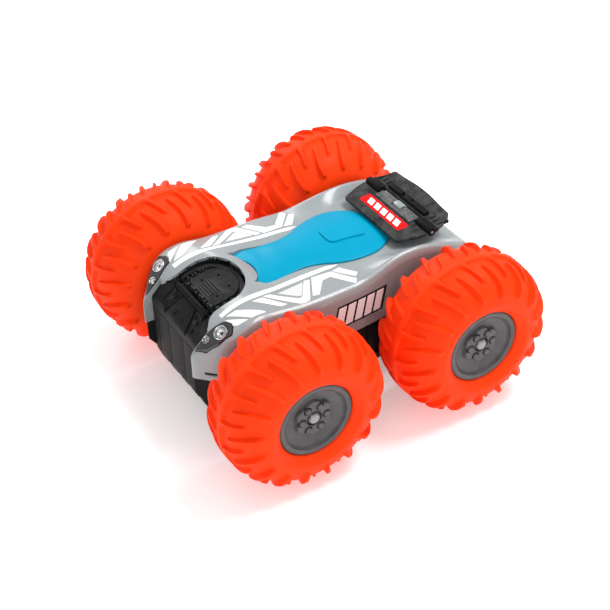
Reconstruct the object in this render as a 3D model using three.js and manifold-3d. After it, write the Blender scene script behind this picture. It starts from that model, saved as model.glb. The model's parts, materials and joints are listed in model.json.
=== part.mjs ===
// A radio-controlled stunt car: four balloon tyres with chevron lugs round a low body, and one
// motor and one gear train on each side. Millimetres, +X forward, +Y to the car's left, +Z up,
// with the origin on the floor under the middle of the car.
import * as THREE from 'three';
import { mergeVertices } from 'three/addons/utils/BufferGeometryUtils.js';
import Module from 'manifold-3d';

const wasm = await Module();
wasm.setup();

// ---- Driving dimensions ----

const LEFT = 1;
const RIGHT = -1;
const SIDES = [['left', LEFT], ['right', RIGHT]];
const ENDS = [['front', 1], ['rear', -1]];

const GAP = 0.3; // between pieces that touch
const WALL = 2; // moulded wall thickness

const WHEEL_BASE = 120;
const TRACK = 167; // between the middle planes of the left and right wheels
const AXLE_Z = 53;

const TYRE = {
  carcassRadius: 51,
  ribHeight: 2, // of the rib round the crown, which the lugs leave at the same height
  shoulderHeight: 3, // of the lugs at the shoulder
  lugs: 17, // on each side of the tread
  sweep: 1.2, // how far the lugs trail at the shoulder, in half pitches
  sideRadius: 26,
  outboardHalf: 25.8,
  inboardHalf: 30.3,
  roundness: 2.25, // exponent of the superellipse that the carcass section follows
  steps: 8, // from bead to bead
  holeRadius: 24.9,
};
const TYRE_BEADS = { outboard: [[26, 22.6], [30.5, 25.5]], inboard: [[30.5, -30], [26, -28.9]] };
const TYRE_INSIDE = [
  [TYRE.holeRadius, 21.8], [TYRE.holeRadius, 18.5], [31, 22.3], [41.5, 17.5], [47.8, 0],
  [41.5, -20.5], [31, -27], [TYRE.holeRadius, -24.4], [TYRE.holeRadius, -28.2],
];

const RIM = {
  flangeRadius: 24.6,
  barrelRadius: 22.5,
  boreRadius: 20.5,
  outboardFace: 21.3,
  inboardFace: -25,
  discFace: 18.2, // where the disc starts at its rim
  discFoot: 16.6, // where the disc meets the hub boss
  inboardBand: 4.5, // width of the flange at each end of the barrel
  outboardBand: 5,
  lip: 3,
  bossRadius: 12,
  bossFace: 18.5,
  nutWell: 6.2,
  nutSeat: 15.6,
  hubRadius: 6,
  hubEnd: -10,
  discBack: 13.6,
  studs: 6,
  studCircle: 8.9,
  studRadius: 1.4,
  studHeight: 1,
};

const AXLE_RADIUS = 2;
const NUT = { acrossFlats: 7, thickness: 4.4, cap: 1.2 }; // a cap nut
const BUSH = { radius: 5, flangeRadius: 7, from: 42.8, shoulder: 50.2, to: 51.8 };

// Gear trains. The y values are for the left side, measured from the middle of the car.
const GEAR = { driveModule: 1.5, motorModule: 1.25, axleTeeth: 24, idlerTeeth: 22, hubTeeth: 12 };
// A tooth's height above and below the pitch circle in modules, and half its width at its root
// and tip in pitches.
const TOOTH = { above: 0.85, below: 1.2, rootHalf: 0.33, tipHalf: 0.11 };
const MOTOR_TEETH = { pinion: 8, wheel: 28 };
const MOTOR_ANGLE = THREE.MathUtils.degToRad(60); // of the pinion below the middle gear's axis
const IDLER_X = ((GEAR.hubTeeth + GEAR.idlerTeeth) / 2) * GEAR.driveModule;
const PINION_REACH = ((MOTOR_TEETH.pinion + MOTOR_TEETH.wheel) / 2) * GEAR.motorModule;
const PINION_X = PINION_REACH * Math.cos(MOTOR_ANGLE);
const PINION_Z = AXLE_Z - PINION_REACH * Math.sin(MOTOR_ANGLE);
const PIN_RADIUS = 1.5;
const PLATE = { from: 28, to: 30.5, pinEnd: 39.6, reach: 67, bottom: 45, top: 61, lobeHalf: 12 };
const DRIVE_LAYER = { from: 35, to: 38.7 };
const MOTOR_LAYER = { from: 31, to: 34 };
const MOTOR = { width: 20, height: 15, from: 2.5, to: 27.7, shaftRadius: 1, shaftStart: 25.2 };

const BODY = { front: 101, rear: -94, splitZ: 52.2 };
// How the side wall turns over into the shoulder, and how far the ridge's inner slope runs.
const SHOULDER = { wallDrop: 5, edgeIn: 1.1, edgeDrop: 1.4, crestIn: 3.5 };
const RIDGE = { slope: 5, drop: 0.7, flatPart: 0.4, flatDrop: 0.2 };
const NOSE = { halfWidth: 30.8, wallX: 86, gapX: 88 };
const FLOOR = { bottom: 18, top: 20.5 };

// Side view of the chassis tub: x, z, then how far the inside lies behind and above the outside
// in wall thicknesses.
const TUB_FRONT = [
  [BODY.front - 0.5, BODY.splitZ - GAP / 2, 1, 3], [BODY.front - 0.5, 40, 1, 0.3],
  [92, 28, 0.6, 0.8], [84, FLOOR.bottom, 0.4, 1.25],
];
const TUB_REAR = [
  [-84, FLOOR.bottom, -0.4, 1.25], [-91, 28, -0.6, 0.8],
  [BODY.rear + 0.5, 40, -1, 0.3], [BODY.rear + 0.5, BODY.splitZ - GAP / 2, -1, 3],
];
const TUB_PLACES = [-93.5, -86, -64, -37, -10, 20, 54, 77, 85, 92, 97, 100.5];
const TUB_IN = 0.8; // from the shell's inside to the tub's outside

const BATTERY = { x: -53.6, halfLength: 25, cellRadius: 7, bottom: 22.5, spacing: 13.4 };
const DOOR = { from: -76, to: -31, halfWidth: 26.5, top: 20.3 };
const TONGUE = { from: -36, wallTo: -33, to: -28.5, halfWidth: 6, top: FLOOR.top + 1.5 };
const GRIPS = { count: 3, first: -73, spacing: 3, width: 1.5, halfLength: 8, depth: 0.7 };
const SWITCH = { from: 46, to: 54, travel: 4, halfWidth: 3, proud: 1.6, flange: 2.5, flangeTop: 23 };
const BOARD = {
  from: 32, to: 72, halfWidth: 20, bottom: 42, top: 43.6, posts: [36, 64], postRadius: 2.5,
};
const CHIPS = [ // on the board, as x and y ranges and height
  [[48, 58], [-5, 5], 2],
  [[64, 70], [6, 16], 3],
  [[37, 43], [-18, -6], 5],
];
const CAPACITORS = [[42, 14, 3, 8], [66, -12, 2, 6]]; // as x, y, radius and height
const SCREW = {
  frontX: 78,
  rearX: -80.5,
  y: 24,
  sink: 1,
  headRadius: 2.4,
  headHeight: 2,
  shankRadius: 1.2,
  shankFrom: 4.6,
  shankTo: 26,
  length: 28,
  well: 6,
};
const BOSS = { radius: 3.4, top: 50 };

const HINGE = { x: -70, z: 93.2, pinRadius: 1, barrelRadius: 3, barrelFrom: 20.5, barrelTo: 35.5 };
const WING = {
  frontX: -46.8,
  frontZ: 90.2,
  rear: -92, // past the flap's tail
  thickness: 2.2,
  slope: THREE.MathUtils.degToRad(4),
};
const WING_EDGE = [[WING.frontX, 29.1], [-58, 33.6], [-66.4, 35.4]];
const WING_SLOT = { from: -70, to: -63.5, halfWidth: 19.5 };
const WING_FOOT = { x: -55, y: 20, radius: 3, from: 88, to: 91.5 };
const FLAP_EDGE = [[-73.6, 35.2], [-80, 33], [-87, 29.6], [-87.6, 20], [-89, 6]];
const FLAP_LIP = { from: -83, lift: 1, thickness: 4 }; // the raised tail of the flap
const FLAP_SPINE = { from: -79, to: -74.6, halfWidth: 20, bottom: 93.4, top: 97.4 };
const HINGE_WEB = { back: -75, halfWidth: 7, bottom: 91.9, top: 94 };
const KNUCKLE = { half: 3, halfWidth: 4, bottom: 83, top: HINGE.z + 2 };

// Plans of the openings in the body. Where a plan is the same on both sides, only its left half
// is given.
const BAY_EDGE = [
  [48.5, 0], [50.5, 10.5], [54.5, 17.5], [60, 21.8], [66.5, 23.2], [83, 22.9],
  [NOSE.gapX + 0.5, NOSE.halfWidth],
];
const BAY_FLOOR = 62;
const POD_OUTLINE = [
  [98.4, 31.6], [94, 38.6], [88, 43.6], [80.6, 46.2], [76.6, 40.5], [79, 35], [89, 31.6],
];
const CANOPY_EDGE = [
  [-58, 9], [-48, 18.5], [-36, 25.4], [-24, 26.8], [-8, 23.4], [2, 19], [12, 16.8],
  [26, 17.8], [40, 19.2], [47, 17],
];
const CANOPY = {
  from: -58,
  to: 47,
  slices: 10,
  bodyTo: 34, // the canopy bridges the body's height from here forward
  frontX: 59.8,
  frontRadius: 20.8, // of the hollow where the front edge runs round the cowl
  lift: 0.4,
  crown: 4.2,
  crownX: -12,
  crownReach: 70,
};

const LAMP_AIM = new THREE.Vector3(0.62, 0.12, 0.78).normalize();
const LAMPS = [
  { name: 'headlamp', at: new THREE.Vector3(84.2, 39.4, 84.4), radius: 4.6 },
  { name: 'sidelamp', at: new THREE.Vector3(91.4, 34.4, 79), radius: 2.5 },
];
const LAMP_DEPTH = { below: -3, above: 1.2 };
const POD = { bottom: 72, proud: 0.6 };

// Side views of the nose panel, the engine cover and the tail panel, as [x, z].
const NOSE_SECTION = [
  [88.3, 21], [91.5, 21], [95.2, 31], [95.2, 71], [84.5, 81.3], [79.8, 82.3],
  [79.8, 79.3], [83.5, 78.4], [88.3, 73.5],
];
const NOSE_EDGE = [
  [79.8, 22.5], [83.1, 22.5], [NOSE.gapX + GAP, NOSE.halfWidth - GAP],
  [96, NOSE.halfWidth - GAP],
];
const NOSE_NOTCH = { width: 6, top: 25, places: [-20, -7, 7, 20] };
const ENGINE_SECTION = [[78, 84.2], [60, 87.4], [49, 89], [49, 85.8], [60, 84.2], [78, 81]];
const ENGINE_THICKNESS = 3.2;
const ENGINE_EDGE = [[49, 0], [51, 10], [54.9, 17.1], [60.2, 21.4], [66.6, 22.8], [78, 22.6]];
const ENGINE_TROUGH = {
  depth: 1.7,
  edge: [[51.2, 0], [53.2, 7.6], [57.1, 14.7], [62.4, 19], [68.8, 20.4], [90, 20.2]],
};
const ENGINE_PLATE = {
  lift: 0.7, // above the rim of the cover
  edge: [[52.2, 0], [53, 6], [56, 12], [61, 15.5], [76.4, 15.5]],
};
const ENGINE_RIBS = {
  places: [66, 68.5, 71, 73.5],
  width: 1.1,
  halfLength: 7,
  foot: 84,
  top: 88,
  fall: 0.45, // from each rib to the next one forward
};
const NOSE_GROOVE = [[83.5, 7.6], [95.8, 12.2], [95.8, 14.4], [83.5, 9]]; // in plan
const NOSE_GROOVE_SECTION = [[84, 79.7], [96, 68.2], [99, 72], [84, 86]];
const NOSE_BAR = {
  x: 82.9, z: 84.5, radius: 1.9, half: 18, knobY: 18.5, knobRadius: 2.4, knobHeight: 4,
};
const TAIL_SECTION = [
  [-94.3, 55], [-94.3, 76], [-96.2, 75], [-97.6, 71], [-97.6, 60], [-96.2, 56],
];
const TAIL_HALF_WIDTH = 33;

// Body stations from the tail to the nose: x, then half width at the side wall, height of the
// shoulder, sideways place and height of the inner ridge, and height of the middle.
const STATIONS = [
  [-94, 43.5, 79.5, 30, 79, 79],
  [-86, 45.2, 83.5, 33, 82, 82],
  [-76, 46.2, 88, 34.5, 84.6, 84.6],
  [-64, 45.4, 91.4, 35, 85.6, 85.4],
  [-49, 44.8, 93.2, 34, 86.4, 85.6],
  [-37, 45.2, 92.3, 31, 87.2, 86.2],
  [-24, 46.8, 89.4, 28.5, 87.4, 86.8],
  [-10, 48.2, 86.6, 25.8, 87.4, 86.8],
  [5, 49.2, 86.9, 23.5, 88.6, 87],
  [20, 49.6, 87.2, 23.9, 89.4, 87.4],
  [34, 49.3, 87.6, 24.8, 90.4, 87.8],
  [41, 48.8, 88.1, 25.4, 91, 89.6],
  [48, 48.4, 88.8, 26.4, 91.8, 93.4],
  [54, 48.3, 89.6, 27.4, 92.3, 93.6],
  [61, 48.8, 90.6, 29, 92.5, 92],
  [69, 49.8, 90, 30.3, 91.6, 90],
  [77, 50.2, 87.6, 31.2, 89, 88],
  [85, 47.5, 83.8, 31.8, 84.6, 84],
  [92, 42, 78, 31.4, 78.3, 78],
  [97, 36.5, 73.5, 29.5, 73.6, 73.5],
  [101, 32.6, 69.8, 26, 69.9, 69.8],
];

// ---- Solids from code ----

function vector(x, y, z) {
  return new THREE.Vector3(x, y, z);
}

// Joins rings of points into one surface. A closed skin wraps from its last ring to its first;
// an open one gets end caps, which must be flat across X.
function skin(rings, closed) {
  const count = rings[0].length;
  const steps = closed ? rings.length : rings.length - 1;
  const index = [];
  for (let step = 0; step < steps; step += 1) {
    const near = step * count;
    const far = ((step + 1) % rings.length) * count;
    for (let point = 0; point < count; point += 1) {
      const next = (point + 1) % count;
      index.push(near + point, near + next, far + next);
      index.push(near + point, far + next, far + point);
    }
  }
  if (!closed) {
    index.push(...cap(rings[0], 0).reverse());
    index.push(...cap(rings[rings.length - 1], (rings.length - 1) * count));
  }
  const geometry = new THREE.BufferGeometry().setFromPoints(rings.flat());
  geometry.setIndex(index);
  return geometry;
}

function cap(ring, first) {
  const outline = ring.map((point) => new THREE.Vector2(point.y, point.z));
  return THREE.ShapeUtils.triangulateShape(outline, []).flat().map((corner) => corner + first);
}

function solidOf(geometry) {
  const bare = geometry.clone();
  bare.deleteAttribute('normal');
  bare.deleteAttribute('uv');
  const merged = mergeVertices(bare, 1e-4);
  const corners = merged.index.array;
  const triVerts = [];
  for (let at = 0; at < corners.length; at += 3) {
    const [a, b, c] = corners.slice(at, at + 3);
    if (a !== b && b !== c && c !== a) triVerts.push(a, b, c);
  }
  return new wasm.Manifold(new wasm.Mesh({
    numProp: 3,
    vertProperties: new Float32Array(merged.attributes.position.array),
    triVerts: new Uint32Array(triVerts),
  }));
}

function geometryOf(solid) {
  const mesh = solid.getMesh();
  const geometry = new THREE.BufferGeometry();
  geometry.setAttribute('position', new THREE.BufferAttribute(mesh.vertProperties, 3));
  geometry.setIndex(new THREE.BufferAttribute(mesh.triVerts, 1));
  return geometry;
}

function cut(base, ...tools) {
  const solid = tools.reduce((rest, tool) => rest.subtract(solidOf(tool)), solidOf(base));
  return geometryOf(solid);
}

function join(base, ...others) {
  const solid = others.reduce((sum, other) => sum.add(solidOf(other)), solidOf(base));
  return geometryOf(solid);
}

function common(base, ...others) {
  const solid = others.reduce((rest, other) => rest.intersect(solidOf(other)), solidOf(base));
  return geometryOf(solid);
}

function mirrorY(geometry) {
  const copy = mergeVertices(geometry.clone(), 1e-4);
  copy.applyMatrix4(new THREE.Matrix4().makeScale(1, -1, 1));
  copy.setIndex([...copy.index.array].reverse());
  return copy;
}

function box([x0, x1], [y0, y1], [z0, z1]) {
  const geometry = new THREE.BoxGeometry(x1 - x0, y1 - y0, z1 - z0);
  return geometry.translate((x0 + x1) / 2, (y0 + y1) / 2, (z0 + z1) / 2);
}

// A rod along Y between two y values.
function rod(radius, [y0, y1], x = 0, z = 0, sides = 16) {
  const geometry = new THREE.CylinderGeometry(radius, radius, y1 - y0, sides);
  return geometry.translate(x, (y0 + y1) / 2, z);
}

// A post along Z.
function post(radius, [z0, z1], x, y, sides = 12) {
  const geometry = new THREE.CylinderGeometry(radius, radius, z1 - z0, sides);
  return geometry.rotateX(Math.PI / 2).translate(x, y, (z0 + z1) / 2);
}

// A ring or disc about Y: its [radius, y] outline goes up outside and comes down inside.
function turned(outline, sides) {
  const points = outline.map(([radius, y]) => new THREE.Vector2(radius, y));
  return new THREE.LatheGeometry([...points, points[0]], sides);
}

function shapeOf(outline) {
  return new THREE.Shape(outline.map(([x, y]) => new THREE.Vector2(x, y)));
}

// An [x, y] outline raised from z0 to z1.
function raised(outline, [z0, z1]) {
  const geometry = new THREE.ExtrudeGeometry(shapeOf(outline), {
    depth: z1 - z0,
    bevelEnabled: false,
  });
  return geometry.translate(0, 0, z0);
}

// An [x, z] shape carried across from y0 to y1.
function across(shape, [y0, y1], curveSegments = 6) {
  const geometry = new THREE.ExtrudeGeometry(shape, {
    depth: y1 - y0,
    bevelEnabled: false,
    curveSegments,
  });
  return geometry.rotateX(Math.PI / 2).translate(0, y1, 0);
}

function mirroredOutline(outline) {
  const other = outline.filter(([, y]) => y > 0).map(([x, y]) => [x, -y]);
  return [...outline, ...other.reverse()];
}

// ---- Wheels, built for the left side with +Y outboard and the wheel's middle at y = 0 ----

// Points round the section. Each has the height of the lugs there, and how far it leans to the
// side and rises towards the crown, from 0 to 1.
function tyreSection() {
  const plain = ([radius, y]) => ({ radius, y, lug: 0, lean: 0, rise: 0 });
  const section = TYRE_BEADS.inboard.map(plain).reverse();
  for (let step = 1; step < TYRE.steps; step += 1) {
    const turn = Math.PI * (1 - step / TYRE.steps);
    const power = 2 / TYRE.roundness;
    const half = turn > Math.PI / 2 ? TYRE.inboardHalf : TYRE.outboardHalf;
    const lean = Math.sign(Math.cos(turn)) * Math.abs(Math.cos(turn)) ** power;
    const rise = Math.sin(turn) ** power;
    section.push({
      radius: TYRE.sideRadius + (TYRE.carcassRadius - TYRE.sideRadius) * rise,
      y: half * lean,
      lug: TYRE.ribHeight + (TYRE.shoulderHeight - TYRE.ribHeight) * Math.abs(lean),
      lean,
      rise,
    });
  }
  return [...section, ...TYRE_BEADS.outboard.map(plain).reverse(), ...TYRE_INSIDE.map(plain)];
}

// Two columns of points to each lug: one along its crest and one along the groove behind it.
// The rib at the crown is as high in both.
function tyre() {
  const section = tyreSection();
  const rings = [];
  for (let column = 0; column < 2 * TYRE.lugs; column += 1) {
    rings.push(section.map(({ radius, y, lug, lean, rise }) => {
      const atCrown = Math.abs(lean) < 0.01;
      const height = column % 2 === 0 || atCrown ? lug : 0;
      const trail = lug > 0 ? TYRE.sweep * Math.abs(lean) : 0;
      const angle = ((column + trail) * Math.PI) / TYRE.lugs - Math.PI / 2;
      const reach = radius + height * rise;
      const side = y + height * lean * (1 - rise);
      return vector(reach * Math.cos(angle), side, reach * Math.sin(angle));
    }));
  }
  return skin(rings, true);
}

function rim() {
  const disc = turned([
    [RIM.boreRadius, RIM.inboardFace],
    [RIM.flangeRadius, RIM.inboardFace],
    [RIM.flangeRadius, RIM.inboardFace + RIM.inboardBand],
    [RIM.barrelRadius, RIM.inboardFace + RIM.inboardBand],
    [RIM.barrelRadius, RIM.outboardFace - RIM.outboardBand],
    [RIM.flangeRadius, RIM.outboardFace - RIM.outboardBand],
    [RIM.flangeRadius, RIM.outboardFace],
    [RIM.flangeRadius - RIM.lip, RIM.outboardFace],
    [RIM.boreRadius, RIM.discFace],
    [RIM.bossRadius + 0.6, RIM.discFoot],
    [RIM.bossRadius, RIM.bossFace],
    [RIM.nutWell, RIM.bossFace],
    [RIM.nutWell, RIM.nutSeat],
    [AXLE_RADIUS + GAP, RIM.nutSeat],
    [AXLE_RADIUS + GAP, RIM.hubEnd],
    [RIM.hubRadius, RIM.hubEnd],
    [RIM.hubRadius, RIM.discBack],
    [RIM.boreRadius, RIM.discBack],
  ], 20);
  const studs = [];
  for (let stud = 0; stud < RIM.studs; stud += 1) {
    const angle = (stud * 2 * Math.PI) / RIM.studs;
    const x = RIM.studCircle * Math.cos(angle);
    const z = RIM.studCircle * Math.sin(angle);
    studs.push(rod(RIM.studRadius, [RIM.bossFace - 1, RIM.bossFace + RIM.studHeight], x, z, 6));
  }
  return join(disc, ...studs);
}

function wheelNut() {
  const corner = NUT.acrossFlats / Math.sqrt(3);
  const from = RIM.nutSeat + GAP;
  const blank = rod(corner, [from, from + NUT.thickness], 0, 0, 6);
  return cut(blank, rod(AXLE_RADIUS + GAP, [from - 1, from + NUT.thickness - NUT.cap], 0, 0, 12));
}

// From inside the gearbox plate to inside the cap nut.
function axle() {
  const inner = PLATE.from - TRACK / 2 - 3;
  return rod(AXLE_RADIUS, [inner, RIM.nutSeat + NUT.thickness - NUT.cap], 0, 0, 12);
}

function axleBush() {
  return turned([
    [BUSH.radius, BUSH.from],
    [BUSH.radius, BUSH.shoulder],
    [BUSH.flangeRadius, BUSH.shoulder],
    [BUSH.flangeRadius, BUSH.to],
    [AXLE_RADIUS + GAP, BUSH.to],
    [AXLE_RADIUS + GAP, BUSH.from],
  ], 12);
}

// ---- Gears, about Y ----

// A gear outline whose first tooth points along phase, measured from +X towards +Z.
function gearShape(teeth, module, phase, bore) {
  const pitch = (2 * Math.PI) / teeth;
  const radius = (teeth * module) / 2;
  const root = radius - TOOTH.below * module;
  const tip = radius + TOOTH.above * module;
  const { rootHalf, tipHalf } = TOOTH;
  const corners = [[root, -rootHalf], [tip, -tipHalf], [tip, tipHalf], [root, rootHalf]];
  const outline = [];
  for (let tooth = 0; tooth < teeth; tooth += 1) {
    for (const [reach, part] of corners) {
      const angle = phase + (tooth + part) * pitch;
      outline.push([reach * Math.cos(angle), reach * Math.sin(angle)]);
    }
  }
  const shape = shapeOf(outline);
  if (bore > 0) shape.holes.push(new THREE.Path().absarc(0, 0, bore, 0, 2 * Math.PI, true));
  return shape;
}

// The phase that puts a gap of the driven gear opposite a tooth of its driver.
function meshedPhase(direction, driverTeeth, driverPhase, drivenTeeth) {
  const turns = ((direction - driverPhase) * driverTeeth) / (2 * Math.PI);
  return direction + Math.PI - ((0.5 - turns) * 2 * Math.PI) / drivenTeeth;
}

function layerOnWheel({ from, to }) {
  return [from - TRACK / 2, to - TRACK / 2];
}

function axleGear() {
  const shape = gearShape(GEAR.axleTeeth, GEAR.driveModule, 0, AXLE_RADIUS + GAP);
  return across(shape, layerOnWheel(DRIVE_LAYER), 3);
}

function idlerGear(direction) {
  const phase = meshedPhase(direction, GEAR.hubTeeth, 0, GEAR.idlerTeeth);
  const shape = gearShape(GEAR.idlerTeeth, GEAR.driveModule, phase, PIN_RADIUS + GAP);
  return across(shape, [DRIVE_LAYER.from, DRIVE_LAYER.to], 3);
}

function compoundGear() {
  const bore = PIN_RADIUS + GAP;
  const wheel = gearShape(MOTOR_TEETH.wheel, GEAR.motorModule, 0, 0);
  const hub = gearShape(GEAR.hubTeeth, GEAR.driveModule, 0, 0);
  const blank = join(
    across(wheel, [MOTOR_LAYER.from, MOTOR_LAYER.to]),
    across(hub, [MOTOR_LAYER.to - 1, DRIVE_LAYER.to]),
  );
  return cut(blank, rod(bore, [MOTOR_LAYER.from - 1, DRIVE_LAYER.to + 1], 0, 0, 12));
}

function motorPinion(direction) {
  const phase = meshedPhase(direction, MOTOR_TEETH.wheel, 0, MOTOR_TEETH.pinion);
  const gear = across(
    gearShape(MOTOR_TEETH.pinion, GEAR.motorModule, phase, 0),
    [MOTOR_LAYER.from, MOTOR_LAYER.to],
  );
  return join(gear, rod(MOTOR.shaftRadius, [MOTOR.shaftStart, MOTOR_LAYER.to - 1], 0, 0, 8));
}

function motor() {
  const can = common(
    rod(MOTOR.width / 2, [MOTOR.from, MOTOR.to], 0, 0, 24),
    box([-MOTOR.width, MOTOR.width], [MOTOR.from, MOTOR.to], [-MOTOR.height / 2, MOTOR.height / 2]),
  );
  const bore = rod(MOTOR.shaftRadius + GAP, [MOTOR.shaftStart - GAP, MOTOR.to + 1], 0, 0, 8);
  return cut(can, bore);
}

// The plate that carries one side's gears on its pins and lets the axles through.
function gearboxPlate(motorSide) {
  const { reach, bottom, top, lobeHalf } = PLATE;
  const lobe = [motorSide * PINION_X - lobeHalf, motorSide * PINION_X + lobeHalf];
  const lobeBottom = FLOOR.top + GAP;
  const shape = shapeOf([
    [-reach, bottom], [lobe[0], bottom], [lobe[0], lobeBottom], [lobe[1], lobeBottom],
    [lobe[1], bottom], [reach, bottom], [reach, top], [-reach, top],
  ]);
  const holes = [
    [-WHEEL_BASE / 2, AXLE_Z, AXLE_RADIUS + GAP],
    [WHEEL_BASE / 2, AXLE_Z, AXLE_RADIUS + GAP],
    [motorSide * PINION_X, PINION_Z, MOTOR.shaftRadius + 2 * GAP],
  ];
  for (const [x, z, radius] of holes) {
    shape.holes.push(new THREE.Path().absarc(x, z, radius, 0, 2 * Math.PI, true));
  }
  const pins = [-IDLER_X, 0, IDLER_X].map(
    (x) => rod(PIN_RADIUS, [PLATE.to - 1, PLATE.pinEnd], x, AXLE_Z, 10),
  );
  return join(across(shape, [PLATE.from, PLATE.to], 3), ...pins);
}

// ---- Body ----

const stationCurve = new THREE.CubicInterpolant(
  STATIONS.map(([x]) => x),
  STATIONS.flatMap(([, ...values]) => values),
  5,
);

function stationAt(x) {
  const [halfWidth, shoulderZ, ridgeY, ridgeZ, middleZ] = stationCurve.evaluate(x);
  return { halfWidth, shoulderZ, ridgeY, ridgeZ, middleZ };
}

// One cross-section of the body at x, moved outward by offset (inward where it is negative).
function bodyRing(x, offset, bottomZ) {
  const { halfWidth, shoulderZ, ridgeY, ridgeZ, middleZ } = stationAt(x);
  const side = halfWidth + offset;
  const crestY = halfWidth - SHOULDER.crestIn + Math.min(offset, 0);
  const left = [
    [side, bottomZ],
    [side, shoulderZ - SHOULDER.wallDrop],
    [side - SHOULDER.edgeIn, shoulderZ - SHOULDER.edgeDrop + offset],
    [crestY, shoulderZ + offset],
    [(crestY + ridgeY) / 2, (shoulderZ + ridgeZ) / 2 + offset],
    [ridgeY, ridgeZ + offset],
    [ridgeY - RIDGE.slope, ridgeZ + offset - RIDGE.drop * Math.sign(ridgeZ - middleZ)],
    [ridgeY * RIDGE.flatPart, middleZ + offset - RIDGE.flatDrop],
    [0, middleZ + offset],
  ];
  const right = left.slice(0, -1).map(([y, z]) => [-y, z]).reverse();
  return [...left, ...right].map(([y, z]) => vector(x, y, z));
}

function bodySolid(offset, bottomZ) {
  const between = STATIONS.slice(1, -1).map(([x]) => x);
  const places = [BODY.rear - offset, ...between, BODY.front + offset];
  return skin(places.map((x) => bodyRing(x, offset, bottomZ)), false);
}

function grown(outline, by) {
  const middleX = outline.reduce((sum, [x]) => sum + x, 0) / outline.length;
  const middleY = outline.reduce((sum, [, y]) => sum + y, 0) / outline.length;
  return outline.map(([x, y]) => {
    const away = Math.hypot(x - middleX, y - middleY);
    const stretch = 1 + by / away;
    return [middleX + (x - middleX) * stretch, middleY + (y - middleY) * stretch];
  });
}

function openedTo(edge, [z0, z1]) {
  return raised(mirroredOutline(edge), [z0, z1]);
}

function noseGap(from) {
  return box([from, BODY.front + 9], [-NOSE.halfWidth, NOSE.halfWidth], [0, 120]);
}

// What stays solid round the nose gap when the inside is hollowed out.
function noseCore() {
  const half = NOSE.halfWidth + WALL;
  return box([NOSE.wallX, BODY.front + 9], [-half, half], [0, 120]);
}

function axleHoles() {
  const holes = [];
  for (const x of [-WHEEL_BASE / 2, WHEEL_BASE / 2]) {
    holes.push(rod(BUSH.radius + GAP, [-60, 60], x, AXLE_Z, 16));
  }
  return holes;
}

function canopyPlan(extra) {
  const edge = CANOPY_EDGE.map(([x, y]) => [x, y + extra]);
  edge[0][0] -= extra;
  edge[edge.length - 1][0] += 2 * extra;
  const hollow = post(CANOPY.frontRadius - extra, [50, 130], CANOPY.frontX, 0, 32);
  return cut(openedTo(edge, [60, 120]), hollow);
}

function upperShell() {
  const hollow = cut(bodySolid(-WALL, BODY.splitZ - 9), noseCore());
  const bay = openedTo(BAY_EDGE, [BAY_FLOOR, 120]);
  const pods = [POD_OUTLINE, POD_OUTLINE.map(([x, y]) => [x, -y]).reverse()];
  const podHoles = pods.map((outline) => raised(grown(outline, 2 * GAP), [60, 120]));
  const knuckle = box(
    [HINGE.x - KNUCKLE.half, HINGE.x + KNUCKLE.half],
    [-KNUCKLE.halfWidth, KNUCKLE.halfWidth],
    [KNUCKLE.bottom, KNUCKLE.top],
  );
  const pinHole = rod(HINGE.pinRadius + GAP, [-10, 10], HINGE.x, HINGE.z, 12);
  const open = cut(
    bodySolid(0, BODY.splitZ + GAP / 2),
    hollow,
    noseGap(NOSE.gapX),
    bay,
    canopyPlan(GAP),
    ...podHoles,
    ...axleHoles(),
  );
  return cut(join(open, knuckle), pinHole);
}

function lampPod() {
  const skinLayer = cut(bodySolid(POD.proud, 50), bodySolid(-WALL, 40));
  const lampHoles = LAMPS.map(({ at, radius }) => lampBody(at, radius + GAP, [-9, 9]));
  return cut(common(raised(POD_OUTLINE, [POD.bottom, 110]), skinLayer), ...lampHoles);
}

// A lamp along its aim, from the first to the second of the given depths.
function lampBody(at, radius, [from, to]) {
  const geometry = new THREE.CylinderGeometry(radius, radius, to - from, 16);
  const aim = new THREE.Quaternion().setFromUnitVectors(vector(0, 1, 0), LAMP_AIM);
  geometry.translate(0, (from + to) / 2, 0).applyQuaternion(aim);
  return geometry.translate(at.x, at.y, at.z);
}

function canopy() {
  const half = (x) => new THREE.CubicInterpolant(
    CANOPY_EDGE.map(([place]) => place),
    CANOPY_EDGE.map(([, value]) => value),
    1,
  ).evaluate(x)[0];
  const arc = [1, 0.75, 0.4, 0, -0.4, -0.75, -1];
  const rings = [];
  for (let slice = 0; slice <= CANOPY.slices; slice += 1) {
    const x = CANOPY.from + ((CANOPY.to - CANOPY.from) * slice) / CANOPY.slices;
    const edge = half(x) + 3;
    const { middleZ } = stationAt(Math.min(x, CANOPY.bodyTo));
    const away = (x - CANOPY.crownX) / CANOPY.crownReach;
    const crown = CANOPY.crown * Math.cos(away * (Math.PI / 2));
    const height = (part) => middleZ + CANOPY.lift + crown * (1 - part * part);
    const outer = arc.map((part) => vector(x, part * edge, height(part)));
    const inner = arc.map((part) => vector(x, part * edge, height(part) - WALL)).reverse();
    rings.push([...outer, ...inner]);
  }
  return common(skin(rings, false), canopyPlan(0));
}

function nosePanel() {
  const bent = across(shapeOf(NOSE_SECTION), [-NOSE.halfWidth, NOSE.halfWidth]);
  const notches = NOSE_NOTCH.places.map(
    (y) => box([80, 99], [y - NOSE_NOTCH.width / 2, y + NOSE_NOTCH.width / 2], [0, NOSE_NOTCH.top]),
  );
  const grooves = [NOSE_GROOVE, NOSE_GROOVE.map(([x, y]) => [x, -y]).reverse()].map((outline) => {
    const slope = across(shapeOf(NOSE_GROOVE_SECTION), [-NOSE.halfWidth, NOSE.halfWidth]);
    return common(slope, raised(outline, [0, 120]));
  });
  return cut(common(bent, openedTo(NOSE_EDGE, [0, 120])), ...notches, ...grooves);
}

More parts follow.
